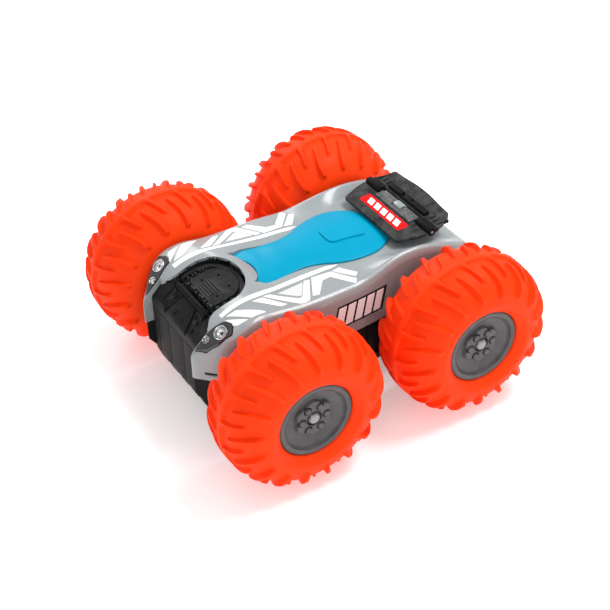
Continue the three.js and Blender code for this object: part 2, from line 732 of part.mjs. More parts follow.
// A tray with a raised plate, and ribs across the plate.
function engineCover() {
  const layer = (lift, edge) => {
    const section = ENGINE_SECTION.map(([x, z]) => [x, z + lift]);
    const slab = across(shapeOf(section), [-NOSE.halfWidth, NOSE.halfWidth]);
    return common(slab, openedTo(edge, [0, 120]));
  };
  const trough = layer(ENGINE_THICKNESS - ENGINE_TROUGH.depth, ENGINE_TROUGH.edge);
  const { places, width, halfLength, foot, top, fall } = ENGINE_RIBS;
  const ribs = places.map((x, at) => box(
    [x - width / 2, x + width / 2],
    [-halfLength, halfLength],
    [foot, top - fall * at],
  ));
  return join(
    cut(layer(0, ENGINE_EDGE), trough),
    layer(ENGINE_PLATE.lift, ENGINE_PLATE.edge),
    ...ribs,
  );
}

function noseBar() {
  const { x, z, radius, half, knobY, knobRadius, knobHeight } = NOSE_BAR;
  const knobs = [LEFT, RIGHT].map(
    (side) => new THREE.CylinderGeometry(knobRadius, knobRadius, knobHeight, 12)
      .translate(x, side * knobY, z),
  );
  return join(rod(radius, [-half, half], x, z, 10), ...knobs);
}

function tailPanel() {
  return across(shapeOf(TAIL_SECTION), [-TAIL_HALF_WIDTH, TAIL_HALF_WIDTH]);
}

// The tub's outside, or its inside where inset is the wall thickness.
function chassisSolid(inset) {
  const profile = [...TUB_FRONT, ...TUB_REAR].map(([x, z, backBy, upBy]) => [
    x - inset * backBy,
    z + inset * upBy,
  ]);
  const side = across(shapeOf(profile), [-60, 60]);
  const edge = TUB_PLACES.map((x) => [x, stationAt(x).halfWidth - WALL - TUB_IN - inset]);
  edge[0][0] += inset;
  edge[edge.length - 1][0] -= inset;
  return common(side, raised(mirroredOutline(edge), [0, 90]));
}

function chassis() {
  const tub = cut(
    chassisSolid(0),
    cut(chassisSolid(WALL), noseCore()),
    noseGap(NOSE.gapX),
    box([DOOR.from - GAP, DOOR.to + GAP], [-DOOR.halfWidth - GAP, DOOR.halfWidth + GAP], [0, 30]),
    box(
      [SWITCH.from - GAP, SWITCH.to + SWITCH.travel + GAP],
      [-SWITCH.halfWidth - GAP, SWITCH.halfWidth + GAP],
      [0, 30],
    ),
    ...axleHoles(),
  );
  const bosses = screwPlaces().map(
    ([x, y]) => post(BOSS.radius, [FLOOR.top - 1, BOSS.top], x, y, 8),
  );
  const boardPosts = BOARD.posts.map(
    (x) => post(BOARD.postRadius, [FLOOR.top - 1, BOARD.bottom - GAP], x, 0, 8),
  );
  const screwHoles = screwPlaces().flatMap(([x, y]) => [
    post(SCREW.shankRadius + GAP, [0, 60], x, y, 8),
    post(SCREW.headRadius + GAP, [0, FLOOR.bottom + SCREW.well], x, y, 12),
  ]);
  return cut(join(tub, ...bosses, ...boardPosts), ...screwHoles);
}

function screwPlaces() {
  return [SCREW.frontX, SCREW.rearX].flatMap((x) => [[x, SCREW.y], [x, -SCREW.y]]);
}

function screw() {
  const head = FLOOR.bottom + SCREW.sink;
  const { headRadius, headHeight, shankRadius, shankFrom, shankTo, length } = SCREW;
  return turned([
    [0, head], [headRadius, head], [headRadius, head + headHeight],
    [shankRadius, head + shankFrom], [shankRadius, head + shankTo], [0, head + length],
  ], 8).rotateX(Math.PI / 2);
}

function batteryDoor() {
  const plate = box(
    [DOOR.from, DOOR.to],
    [-DOOR.halfWidth, DOOR.halfWidth],
    [FLOOR.bottom, DOOR.top],
  );
  const aside = [-TONGUE.halfWidth, TONGUE.halfWidth];
  const tongue = join(
    box([TONGUE.from, TONGUE.wallTo], aside, [DOOR.top - 1, TONGUE.top]),
    box([TONGUE.from, TONGUE.to], aside, [FLOOR.top + GAP, TONGUE.top]),
  );
  const grips = [];
  for (let grip = 0; grip < GRIPS.count; grip += 1) {
    const from = GRIPS.first + GRIPS.spacing * grip;
    grips.push(box(
      [from, from + GRIPS.width],
      [-GRIPS.halfLength, GRIPS.halfLength],
      [0, FLOOR.bottom + GRIPS.depth],
    ));
  }
  return cut(join(plate, tongue), ...grips);
}

// Three cells side by side, shrink-wrapped into one pack.
function batteryPack() {
  const { x, halfLength, cellRadius, bottom, spacing } = BATTERY;
  const cells = [0, -spacing, spacing].map(
    (aside) => rod(cellRadius, [-halfLength, halfLength], x + aside, bottom + cellRadius, 14),
  );
  return join(...cells);
}

function powerSwitch() {
  const { from, to, halfWidth, proud, flange, flangeTop } = SWITCH;
  const knob = box([from, to], [-halfWidth, halfWidth], [FLOOR.bottom - proud, FLOOR.top + 1]);
  const guide = box(
    [from - flange, to + flange],
    [-halfWidth - flange, halfWidth + flange],
    [FLOOR.top + GAP, flangeTop],
  );
  return join(knob, guide);
}

function circuitBoard() {
  const { from, to, halfWidth, bottom, top } = BOARD;
  const board = box([from, to], [-halfWidth, halfWidth], [bottom, top]);
  const root = top - 0.5;
  const chips = CHIPS.map(([x, y, height]) => box(x, y, [root, top + height]));
  const cans = CAPACITORS.map(([x, y, radius, height]) => post(radius, [root, top + height], x, y));
  return join(board, ...chips, ...cans);
}

// ---- Wing ----

function wingHeight(x) {
  return WING.frontZ + Math.tan(WING.slope) * (WING.frontX - x);
}

function wingLayer(fromX, toX, lift, thickness) {
  const shape = shapeOf([
    [fromX, wingHeight(fromX) + lift],
    [fromX, wingHeight(fromX) + lift + thickness],
    [toX, wingHeight(toX) + lift + thickness],
    [toX, wingHeight(toX) + lift],
  ]);
  return across(shape, [-50, 50]);
}

function wingPlate() {
  const { from, to, halfWidth } = WING_SLOT;
  const blank = common(
    wingLayer(WING.frontX + 1, HINGE.x, 0, WING.thickness),
    openedTo(WING_EDGE, [0, 120]),
  );
  const plate = cut(blank, box([from, to], [-halfWidth, halfWidth], [0, 120]));
  const feet = [LEFT, RIGHT].map(
    (side) => post(WING_FOOT.radius, [WING_FOOT.from, WING_FOOT.to], WING_FOOT.x, side * WING_FOOT.y),
  );
  return join(plate, ...feet);
}

function wingFlap() {
  const outline = openedTo(FLAP_EDGE, [0, 120]);
  const plate = common(wingLayer(HINGE.x, WING.rear, 0, WING.thickness), outline);
  const lip = common(
    wingLayer(FLAP_LIP.from, WING.rear, FLAP_LIP.lift, FLAP_LIP.thickness),
    outline,
  );
  const spine = box(
    [FLAP_SPINE.from, FLAP_SPINE.to],
    [-FLAP_SPINE.halfWidth, FLAP_SPINE.halfWidth],
    [FLAP_SPINE.bottom, FLAP_SPINE.top],
  );
  const barrels = [LEFT, RIGHT].map((side) => {
    const reach = [HINGE.barrelFrom, HINGE.barrelTo];
    const ends = side === LEFT ? reach : [-reach[1], -reach[0]];
    return rod(HINGE.barrelRadius, ends, HINGE.x, HINGE.z, 12);
  });
  const webs = [LEFT, RIGHT].map((side) => {
    const middle = (side * (HINGE.barrelFrom + HINGE.barrelTo)) / 2;
    return box(
      [HINGE_WEB.back, HINGE.x],
      [middle - HINGE_WEB.halfWidth, middle + HINGE_WEB.halfWidth],
      [HINGE_WEB.bottom, HINGE_WEB.top],
    );
  });
  const bore = rod(HINGE.pinRadius + GAP, [-50, 50], HINGE.x, HINGE.z, 12);
  return cut(join(plate, lip, spine, ...webs, ...barrels), bore);
}

function hingePin() {
  return rod(HINGE.pinRadius, [-HINGE.barrelTo, HINGE.barrelTo], HINGE.x, HINGE.z, 12);
}

// ---- Assembly ----

const FINISH = {
  silver: { color: 0xa9abad, roughness: 0.35, metalness: 0.3 },
  black: { color: 0x1b1c1e, roughness: 0.6, metalness: 0 },
  blue: { color: 0x0f96c6, roughness: 0.3, metalness: 0 },
  tyre: { color: 0xff4a1c, roughness: 0.6, metalness: 0 },
  rim: { color: 0x55575a, roughness: 0.5, metalness: 0.2 },
  steel: { color: 0xb8babd, roughness: 0.3, metalness: 1 },
  chrome: { color: 0xdadcde, roughness: 0.15, metalness: 1 },
  gear: { color: 0xe9e6da, roughness: 0.5, metalness: 0 },
  board: { color: 0x1d5b35, roughness: 0.5, metalness: 0 },
  cells: { color: 0x2c6fb0, roughness: 0.5, metalness: 0 },
};

const car = new THREE.Group();

function place(parent, name, geometry, finish) {
  const mesh = new THREE.Mesh(geometry, new THREE.MeshStandardMaterial(FINISH[finish]));
  mesh.name = name;
  parent.add(mesh);
  return mesh;
}

// The lugs of the rear right tyre trail the other way: it is a left one turned round.
function mountedTyre(end, side) {
  const turnedRound = end === 'rear' && side === 'right';
  if (turnedRound) return tyre().rotateZ(Math.PI);
  return side === 'left' ? tyre() : mirrorY(tyre());
}

function addWheels() {
  const pieces = [
    ['rim', rim(), 'rim'],
    ['wheel_nut', wheelNut(), 'steel'],
    ['axle', axle(), 'steel'],
    ['axle_gear', axleGear(), 'gear'],
  ];
  for (const [end, ahead] of ENDS) {
    for (const [side, out] of SIDES) {
      const wheel = new THREE.Group();
      wheel.position.set((ahead * WHEEL_BASE) / 2, (out * TRACK) / 2, AXLE_Z);
      for (const [name, geometry, finish] of pieces) {
        const shape = out === LEFT ? geometry : mirrorY(geometry);
        place(wheel, `${name}_${end}_${side}`, shape, finish);
      }
      place(wheel, `tyre_${end}_${side}`, mountedTyre(end, side), 'tyre');
      car.add(wheel);
    }
  }
}

function addDrive() {
  for (const [side, out] of SIDES) {
    const handed = (geometry) => (out === LEFT ? geometry : mirrorY(geometry));
    const pinionAngle = out === LEFT ? -MOTOR_ANGLE : MOTOR_ANGLE - Math.PI;
    const motorX = out * PINION_X;
    place(car, `gearbox_plate_${side}`, handed(gearboxPlate(out)), 'black');
    place(car, `motor_${side}`, handed(motor()), 'steel').position.set(motorX, 0, PINION_Z);
    place(car, `motor_pinion_${side}`, handed(motorPinion(pinionAngle)), 'gear')
      .position.set(motorX, 0, PINION_Z);
    place(car, `compound_gear_${side}`, handed(compoundGear()), 'gear').position.z = AXLE_Z;
    for (const [end, ahead] of ENDS) {
      const idler = handed(idlerGear(ahead > 0 ? 0 : Math.PI));
      place(car, `idler_gear_${end}_${side}`, idler, 'gear')
        .position.set(ahead * IDLER_X, 0, AXLE_Z);
      place(car, `axle_bush_${end}_${side}`, handed(axleBush()), 'black')
        .position.set((ahead * WHEEL_BASE) / 2, 0, AXLE_Z);
    }
  }
}

function addBody() {
  place(car, 'upper_shell', upperShell(), 'silver');
  place(car, 'canopy', canopy(), 'blue');
  place(car, 'chassis', chassis(), 'black');
  place(car, 'nose_panel', nosePanel(), 'black');
  place(car, 'engine_cover', engineCover(), 'black');
  place(car, 'nose_bar', noseBar(), 'black');
  place(car, 'tail_panel', tailPanel(), 'black');
  const lampDepth = [LAMP_DEPTH.below, LAMP_DEPTH.above];
  for (const [side, out] of SIDES) {
    const handed = (geometry) => (out === LEFT ? geometry : mirrorY(geometry));
    place(car, `lamp_pod_${side}`, handed(lampPod()), 'black');
    for (const { name, at, radius } of LAMPS) {
      place(car, `${name}_${side}`, handed(lampBody(at, radius, lampDepth)), 'chrome');
    }
  }
}

function addWing() {
  place(car, 'wing_plate', wingPlate(), 'black');
  place(car, 'wing_flap', wingFlap(), 'black');
  place(car, 'wing_hinge_pin', hingePin(), 'steel');
}

function addUnderside() {
  place(car, 'battery_door', batteryDoor(), 'black');
  place(car, 'battery_pack', batteryPack(), 'cells');
  place(car, 'power_switch', powerSwitch(), 'black');
  place(car, 'circuit_board', circuitBoard(), 'board');
  screwPlaces().forEach(([x, y], at) => {
    place(car, `chassis_screw_${at + 1}`, screw(), 'steel').position.set(x, y, 0);
  });
}

addBody();
addWing();
addUnderside();
addDrive();
addWheels();

export default car;
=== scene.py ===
import json
import math
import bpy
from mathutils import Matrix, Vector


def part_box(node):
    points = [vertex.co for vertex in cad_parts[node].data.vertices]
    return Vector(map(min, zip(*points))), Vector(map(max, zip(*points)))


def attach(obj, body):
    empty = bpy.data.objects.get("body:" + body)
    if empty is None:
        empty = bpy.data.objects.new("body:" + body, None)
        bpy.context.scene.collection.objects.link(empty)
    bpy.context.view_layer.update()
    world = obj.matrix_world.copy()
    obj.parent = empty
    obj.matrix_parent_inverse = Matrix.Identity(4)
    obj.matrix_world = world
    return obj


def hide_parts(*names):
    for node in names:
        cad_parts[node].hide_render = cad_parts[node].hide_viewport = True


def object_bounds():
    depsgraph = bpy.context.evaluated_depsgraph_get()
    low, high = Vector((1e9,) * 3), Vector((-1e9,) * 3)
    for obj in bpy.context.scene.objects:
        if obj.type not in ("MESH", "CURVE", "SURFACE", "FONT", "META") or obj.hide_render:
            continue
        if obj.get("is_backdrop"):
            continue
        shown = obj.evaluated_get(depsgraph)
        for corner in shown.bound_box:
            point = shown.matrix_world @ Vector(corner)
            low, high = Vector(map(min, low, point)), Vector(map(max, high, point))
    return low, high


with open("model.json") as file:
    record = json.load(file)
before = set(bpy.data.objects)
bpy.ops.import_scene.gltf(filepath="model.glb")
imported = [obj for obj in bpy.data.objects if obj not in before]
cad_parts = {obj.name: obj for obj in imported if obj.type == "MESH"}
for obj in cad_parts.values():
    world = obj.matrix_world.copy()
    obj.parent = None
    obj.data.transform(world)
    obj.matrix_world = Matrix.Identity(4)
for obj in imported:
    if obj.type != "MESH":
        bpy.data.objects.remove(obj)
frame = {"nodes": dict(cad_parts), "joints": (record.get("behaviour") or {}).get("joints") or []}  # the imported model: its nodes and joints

from types import SimpleNamespace as Sizes

import bpy
import numpy as np
from mathutils import Matrix, Vector

CAD_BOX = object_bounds()

# A radio-controlled stunt car. Lengths here are millimetres, with +X forward, +Y to the car's
# left and +Z up. Blender's own objects are in metres.
MM = 0.001

# ---- Driving dimensions ----

JOINTS = {joint["name"]: joint for joint in frame["joints"]}
HUB = Vector(JOINTS["wheel_front_left_spin"]["pos_m"]) / MM  # middle of the front left wheel
HINGE = Vector(JOINTS["wing_flap_tilt"]["pos_m"]) / MM

TYRE = Sizes(
    carcass_radius=51,
    widest_radius=26,
    outboard_half=25.8,
    inboard_half=30.3,
    power=2 / 2.25,  # the section is a superellipse
    lugs=17,
    sweep=math.radians(8.5),  # how far a lug trails at the shoulder
    shoulder=30,  # along the section, from the crown
    rib_half=2.0,
    rib_height=2,
    bead_from=31,  # below this radius the side wall rolls in towards the bead
    bead_in_outboard=3.0,
    bead_in_inboard=1.2,
)
# The inside of the tyre, from the inboard bead to the outboard one.
TYRE_INSIDE = np.array([
    [24.9, -28.0], [24.9, -24.4], [31, -27], [41.5, -20.5], [47.6, 0], [41.5, 17.5],
    [31, 22.3], [24.9, 18.5], [24.9, 21.6],
])
# The two kinds of lug: half width and height against the distance from the crown, and how much
# wider the lug is where it leaves the rib.
LONG_LUG = Sizes(
    half_width=([7, 9, 14, 21, 27, 31], [0.8, 1.15, 1.5, 1.7, 1.65, 1.4]),
    height=([7, 8, 11, 16, 21, 26, 29, 31], [0, 1.7, 2.4, 2.9, 3.2, 3.2, 2.5, 0]),
    fillet=0,
)
SHORT_LUG = Sizes(
    half_width=([2, 8, 15, 19], [1.35, 1.35, 1.3, 1.1]),
    height=([0, 10, 15.5, 17.2, 18.4], [2.0, 2.4, 2.5, 1.9, 0]),
    fillet=2.8,
)
FILLET_REACH = (1.5, 7)
# Rows of the tread's mesh: distances from the crown on the rib, then fine rows over the lugs and
# coarse ones down the side walls. Columns across a lug are in parts of its half width.
ROWS = Sizes(samples=4001, rib=(2.5, 2.1, 1.7, 0.8), fine_from=3, fine_to=31, fine=35, coarse=1.4)
LUG_COLUMNS = (-1.6, -1.15, -0.9, -0.62, 0, 0.62, 0.9, 1.15, 1.6)
LUG_FLANK = (0.6, 1.16)
COLUMNS_BETWEEN = 5
# How far each tread is turned from the one that has a short lug pointing ahead.
TREAD_TURNS = {
    ("front", "left"): 10.7, ("rear", "left"): 0.7,
    ("front", "right"): 6.5, ("rear", "right"): 12.3,
}

RIM = Sizes(
    flange_radius=24.6,
    bore_radius=20.5,
    outboard_face=21.3,
    inboard_face=-25,
    step_radius=20.6,  # where the flat annulus of the flange ends
    disc_face=19.2,
    disc_foot=16.6,
    disc_back=13.6,
    boss_radius=11.6,
    boss_face=18.8,
    boss_lobe=0.8,
    well_radius=5.2,
    well_floor=15.6,
    stud_circle=8.3,
    stud_radius=2.0,
    stud_face=19.9,
    pocket_radius=2.75,
    pocket_floor=16.9,
    hub_radius=6,
    hub_end=-10,
    axle_hole=2.3,
)
STUDS = 6
NUT = Sizes(radius=4.0, foot=15.9, face=20.3)

GAP = 0.3
WALL = 2
BODY = Sizes(front=101, rear=-94, split=52.2, rings=84, end_round=1.4)
BEYOND = 120  # a height clear above the car
SHOULDER = Sizes(wall_drop=5, edge_in=1.1, edge_drop=1.4, crest_in=3.5)
RIDGE = Sizes(slope=5, drop=0.7, flat_part=0.4, flat_drop=0.2)
SECTION_BENDS = (2.2, 0.9, 1.6, 3, 1.4, 2.2, 4)  # from the side wall to the middle
NOSE = Sizes(half_width=30.8, wall_x=86, gap_x=88)
CHASSIS_FLOOR = 18
BUSH_RADIUS = 5
FENDER_SLOT = ((90, 36, 56.4), (96, 50, 58.6))

# Body stations from the tail to the nose: x, then half width at the side wall, height of the
# shoulder, sideways place and height of the inner ridge, and height of the middle.
STATIONS = np.array([
    [-94, 43.5, 79.5, 30, 79, 79],
    [-86, 45.2, 83.5, 33, 82, 82],
    [-76, 46.2, 88, 34.5, 84.6, 84.6],
    [-64, 45.4, 91.4, 35, 85.6, 85.4],
    [-49, 44.8, 93.2, 34, 86.4, 85.6],
    [-37, 45.2, 92.3, 31, 87.2, 86.2],
    [-24, 46.8, 89.4, 28.5, 87.4, 86.8],
    [-10, 48.2, 86.6, 25.8, 87.4, 86.8],
    [5, 49.2, 86.9, 23.5, 88.6, 87],
    [20, 49.6, 87.2, 23.9, 89.4, 87.4],
    [34, 49.3, 87.6, 24.8, 90.4, 87.8],
    [41, 48.8, 88.1, 25.4, 91, 89.6],
    [48, 48.4, 88.8, 26.4, 91.8, 93.4],
    [54, 48.3, 89.6, 27.4, 92.3, 93.6],
    [61, 48.8, 90.6, 29, 92.5, 92],
    [69, 49.8, 90, 30.3, 91.6, 90],
    [77, 50.2, 87.6, 31.2, 89, 88],
    [85, 47.5, 83.8, 31.8, 84.6, 84],
    [92, 42, 78, 31.4, 78.3, 78],
    [97, 36.5, 73.5, 29.5, 73.6, 73.5],
    [101, 32.6, 69.8, 26, 69.9, 69.8],
], float)

# Half widths of the canopy from its tail to its front tips, and of the bay in the bonnet.
CANOPY_EDGE = np.array([
    [-58, 9], [-48, 18.5], [-36, 25.4], [-24, 26.8], [-8, 23.4], [2, 19], [12, 16.8],
    [26, 17.8], [40, 19.2], [47, 17],
], float)
CANOPY_FRONT = Sizes(x=59.8, radius=20.8, body_to=34)
CANOPY_CROWN = Sizes(height=4.2, x=-12, reach=70, power=2.6, lift=0.4)
ROOF_LIFT = 1.3
ROOF_EDGE = [(-12, 5), (-14, 8), (-36, 10), (-38, 7)]
BAY_EDGE = np.array([
    [48.5, 0], [50.5, 10.5], [54.5, 17.5], [60, 21.8], [66.5, 23.2], [83, 22.9],
    [NOSE.gap_x + 0.5, NOSE.half_width],
], float)
BAY = Sizes(floor=62, bend=6, wall=1.6, wall_foot=79, wall_front=80, cut_foot=70, skin_foot=60)

# White and pale grey patches on the left shoulder, as (x, y); the right shoulder mirrors them.
WHITE_PATCHES = [
    [(78.5, 34.5), (68, 44), (75, 43.5), (78.5, 40)],
    [(76.8, 32.8), (65.5, 43.8), (56, 43.4), (55.5, 42.6), (70.5, 33.2)],
    [(58.5, 32), (44.5, 42.3), (40, 42.2), (51.5, 31.5)],
    [(50.5, 30.8), (33, 45), (31, 45.6), (27, 45.4), (25.5, 44.3), (16.8, 29.2), (20.5, 28.8),
     (28.5, 40.3), (31, 41), (45.8, 30.8)],
    [(22.8, 42.8), (18.6, 43.6), (10, 33.5), (4, 32.8), (-5.5, 44), (-7, 45), (-9.3, 41.5),
     (1, 29), (0.5, 28.8), (14.8, 28.2)],
    [(0, 28.6), (-10.2, 39.7), (-13, 37.2), (-5.5, 27.4)],
]
PALE_PATCHES = [
    [(41, 31.8), (30.5, 39.3), (28.2, 39.4), (21.8, 29.5)],
]
RIDGE_STRIPE = [
    (79, 31.5), (60, 30.4), (20, 27), (-2, 25.8), (-7, 24.3), (0, 22.8), (20, 23.5), (40, 25.8),
    (60, 27), (79, 28),
]
SIDE_PANEL = Sizes(
    front=13, rear=-25, low=60, high=77, lean=0.22, bars=5,
    bar_first=11.4, bar_step=7.2, bar_width=5.6, bar_low=61.4, bar_high=75.6,
)

POD_OUTLINE = [
    (98.4, 31.6), (94, 38.6), (88, 43.6), (80.6, 46.2), (76.6, 40.5), (79, 35), (89, 31.6),
]
POD = Sizes(proud=0.6, bottom=72)
LAMP_AIM = Vector((0.62, 0.12, 0.78)).normalized()
LAMPS = [("headlamp", Vector((84.2, 39.4, 84.4)), 4.6), ("sidelamp", Vector((91.4, 34.4, 79)), 2.5)]

# Side views of the nose panel, the engine cover and the tail panel, as (x, z).
NOSE_SECTION = [
    (88.3, 21), (91.5, 21), (95.2, 31), (95.2, 71), (84.5, 81.3), (79.8, 82.3), (79.8, 79.3),
    (83.5, 78.4), (88.3, 73.5),
]
NOSE_SLOPE = [(98.2, 68.1), (84.5, 81.3), (82.4, 83.3)]
NOSE_SLIT = [(90.2, -3.6), (93.4, -4.4), (93.4, -3.8), (90.2, -2.9)]
# Plans of the cuts in the left of the nose's top with their depths, and of the brackets left
# standing in them with the height of their foot from the slope and their own height.
NOSE_CUTS = [
    ([(83.5, 7.6), (95.4, 12.2), (95.4, 14.0), (83.5, 9.0)], 1.9),
    ([(84, 8), (94.6, 12.6), (93, 21), (84, 19)], 0.8),
    ([(85.2, 11), (87.4, 11.5), (87.2, 13.4), (85.2, 12.8)], 1.8),
    ([(90.6, 15.6), (92.6, 16), (92, 18.4), (90.2, 17.6)], 1.8),
]
NOSE_BRACKETS = [
    ([(87.8, 13.2), (89.8, 13.8), (89.4, 16.2), (87.6, 15.4)], -2, 2.6),
    ([(84.8, 15), (86.2, 15.2), (86, 17.8), (84.8, 17.4)], -2, 2.4),
]
NOSE_EDGE = [(79.8, 22.5), (83.1, 22.5), (88.3, 30.5), (95.5, 30.5)]
NOSE_NOTCHES = Sizes(places=(-20, -7, 7, 20), half=3, top=25)
NOSE_LINES = Sizes(places=(-24, -9, 9, 24), half=0.3, x=94.8, low=27, high=64)
NOSE_BAR = Sizes(x=82.9, z=84.5, radius=1.9, ball=2.5, ball_y=18.3, slot_half=0.5, slot_floor=1.4)
ENGINE_LINE = [(78, 84.2), (60, 87.4), (49, 89)]
ENGINE_EDGE = [(49, 0), (51, 10), (54.9, 17.1), (60.2, 21.4), (66.6, 22.8), (78, 22.6)]
ENGINE_PLATE = [(52.2, 0), (53, 6), (56, 12), (61, 15.5), (76.4, 15.5)]
ENGINE = Sizes(
    thickness=3.2, trough=2.4, plate_lift=0.7, ribs=5, rib_first=66.5,
    rib_step=1.9, rib_half=0.35, rib_length=13, rib_height=0.5, hole_radius=0.9,
)
ENGINE_HOLES = [(60, 6.5), (70, 9.5)]
# Uneven fins along both edges of the tray and teeth along its front: a step, a size and by how
# much the pattern varies.
FINS = Sizes(count=11, first_x=57.5, step=1.75, y=17.2, y_step=0.9, half=0.45, rise=0.6)
TEETH = Sizes(count=9, step=3.4, y_step=0.5, half=0.9, rear=76.0, front=77.8, rise=0.5)
TAIL_SECTION = [
    (-94.3, 55), (-94.3, 76), (-96.2, 75), (-97.6, 71), (-97.6, 60), (-96.2, 56),
]
TAIL_HALF_WIDTH = 33
TAIL_GRILLE = Sizes(
    rows=4, foot=61, row_step=3.2, high=1.5, columns=5, column_step=11.5, half=4.6,
    rear=-99, front=-96.2,
)

WING = Sizes(front_x=-46.8, front_z=90.2, thickness=2.2, slope=math.tan(math.radians(4)),
             plate_bend=1.2, flap_bend=1.4)
WING_EDGE = [(WING.front_x, 29.1), (-58, 33.6), (-66.4, 35.4)]
WING_SLOT = Sizes(front=-63.5, rear=-72.4, half_width=19.5, floor_lift=0.4, floor_thickness=2.3)
WING_FOOT = Sizes(x=-55, y=20, radius=3, foot=88, head=91.5)
LABEL = Sizes(
    front=-53.3, rear=-61.8, half=22, bars=5, bar_first=-15.4,
    bar_step=7.1, bar_width=5.2, bar_lean=2.6, margin=1.8,
)
KNUCKLE = Sizes(half=3, half_width=4, foot=83, head=2)
PIN_RADIUS = 1
BARREL = Sizes(radius=3, inner=20.5, outer=35.5)
FLAP_EDGE = [(-73.6, 35.2), (-80, 33), (-87, 29.6), (-87.6, 20), (-89, 6)]
BARREL_WEB = Sizes(rear=-75, gap=1.5, half=7, low=91.9, high=94.4)
BARREL_RIBS = Sizes(places=(-4, 0, 4), half=0.5, rear=-85, front=-76, low=93, high=95.1)
FLAP_SPINE = Sizes(rear=-79, front=-74.6, half_width=20, foot=93.4, top=97.4)
# Notches in the top of the spine: from and to along it, how far in from its rear and front edges,
# and depth.
SPINE_NOTCHES = [(-6.2, -3.2, -1, 1.9), (3.2, 5.4, 1.2, 1)]
# Along the flap: x, then the height of its underside and of its top above the wing's line.
FLAP_RISE = np.array([
    [-71, 0, 2.2], [-80, 0, 2.3], [-83.5, 0.5, 3.3], [-87, 1.4, 4.5], [-90, 2.2, 5],
], float)
FLOOR_RIBS = Sizes(places=(9, 17, 30), spans=((-24, 38), (60, 72)), half=0.6, proud=0.9, sunk=0.3)
WALL_ROOT = 43  # how far out the ribs and the rail start on the chassis's side walls
WALL_RIBS = Sizes(places=range(-32, 33, 8), half=0.8, outer=46, low=26, high=49)
WALL_RAIL = Sizes(half_length=36, outer=46.2, low=22.5, high=25)
DOOR = Sizes(to=-31, top=20.3)
TONGUE = Sizes(rear=-36, wall_to=-33, front=-28.5, half=6, foot=20.8, top=22)
SWITCH = Sizes(rear=46, front=54, half=3, cap=1, guide_foot=20.8)
# Rows of grooves across the undersides of the door and the switch.
DOOR_GRIPS = Sizes(count=4, first=-73, step=3, wide=1.5, half=8, depth=0.8)
DOOR_GROOVES = Sizes(count=3, first=-58, step=8, wide=1, half=20, depth=0.5)
SWITCH_RIDGES = Sizes(count=4, first=47, step=1.6, wide=0.7, half=4, depth=0.5)
# The screw's head as parts of its radius against the depth, then its shank and cross recess.
SCREWS = 4
SCREW_HEAD = [(0.6, 0.15), (0.9, 0.5), (1, 1.2), (1, 2)]
SCREW = Sizes(shank=1.2, neck=4.6, tip=2, recess_reach=1.5, recess_half=0.3, recess_depth=1.3)

SIDES = [("left", 1), ("right", -1)]
ENDS = [("front", 1), ("rear", -1)]


# ---- Meshes from code ----

def scene_object(name, mesh):
    obj = bpy.data.objects.new(name, mesh)
    bpy.context.scene.collection.objects.link(obj)
    return obj


def mesh_of(name, points, faces, material=None):
    """A mesh from points in millimetres."""
    mesh = bpy.data.meshes.new(name)
    mesh.from_pydata((np.asarray(points, float) * MM).tolist(), [], [list(face) for face in faces])
    if material is not None:
        mesh.materials.append(material)
    return mesh


def smooth(obj, angle=35):
    obj.data.shade_smooth()
    obj.data.set_sharp_from_angle(angle=math.radians(angle))
    return obj


def loft(name, rings, material=None, closed=False):
    """Joins rings of points. A closed loft wraps to its first ring; an open one gets end caps."""
    rings = np.asarray(rings, float)
    count, around = rings.shape[:2]
    index = np.arange(count * around).reshape(count, around)
    near = index if closed else index[:-1]
    far = np.roll(index, -1, axis=0) if closed else index[1:]
    quads = np.stack([near, np.roll(near, -1, 1), np.roll(far, -1, 1), far], -1).reshape(-1, 4)
    faces = quads.tolist()
    if not closed:
        faces += [index[0][::-1].tolist(), index[-1].tolist()]
    return scene_object(name, mesh_of(name, rings.reshape(-1, 3), faces, material))


def turned(name, profile, sides=96, material=None, axis="y"):
    """A closed ring or disc about Y or Z from its (radius, height) profile."""
    turns = np.arange(sides) * 2 * math.pi / sides
    radius, height = np.asarray(profile, float).T
    rings = np.empty((sides, len(profile), 3))
    rings[..., 0] = radius * np.cos(turns)[:, None]
    rings[..., 1] = radius * np.sin(turns)[:, None]
    rings[..., 2] = height
    if axis == "y":
        rings = rings[..., [0, 2, 1]]
        rings = rings[:, ::-1]
    return loft(name, rings, material, closed=True)


def prism(name, outline, span, axis="z", material=None):
    """An outline carried along an axis: (x, y) along z or (x, z) along y."""
    flat = np.asarray(outline, float)
    area = np.sum(flat[:, 0] * np.roll(flat[:, 1], -1) - np.roll(flat[:, 0], -1) * flat[:, 1])
    if (area < 0) != (axis == "y"):
        flat = flat[::-1]
    rings = np.empty((2, len(flat), 3))
    for level, height in enumerate(span):
        rings[level, :, :2] = flat
        rings[level, :, 2] = height
    return loft(name, rings if axis == "z" else rings[..., [0, 2, 1]], material)


def block(name, lo, hi, material=None):
    (x0, y0, z0), (x1, y1, z1) = lo, hi
    return prism(name, [(x0, y0), (x1, y0), (x1, y1), (x0, y1)], (z0, z1), material=material)


def rod(name, radius, span, at=(0, 0), sides=32, axis="y", material=None):
    turns = [2 * math.pi * side / sides for side in range(sides)]
    outline = [(at[0] + radius * math.cos(a), at[1] + radius * math.sin(a)) for a in turns]
    return prism(name, outline, span, axis, material)


def settle(obj):
    """Applies the modifiers of obj."""
    graph = bpy.context.evaluated_depsgraph_get()
    mesh = bpy.data.meshes.new_from_object(obj.evaluated_get(graph))
    obj.modifiers.clear()
    old, obj.data = obj.data, mesh
    mesh.name = obj.name
    bpy.data.meshes.remove(old)
    return obj


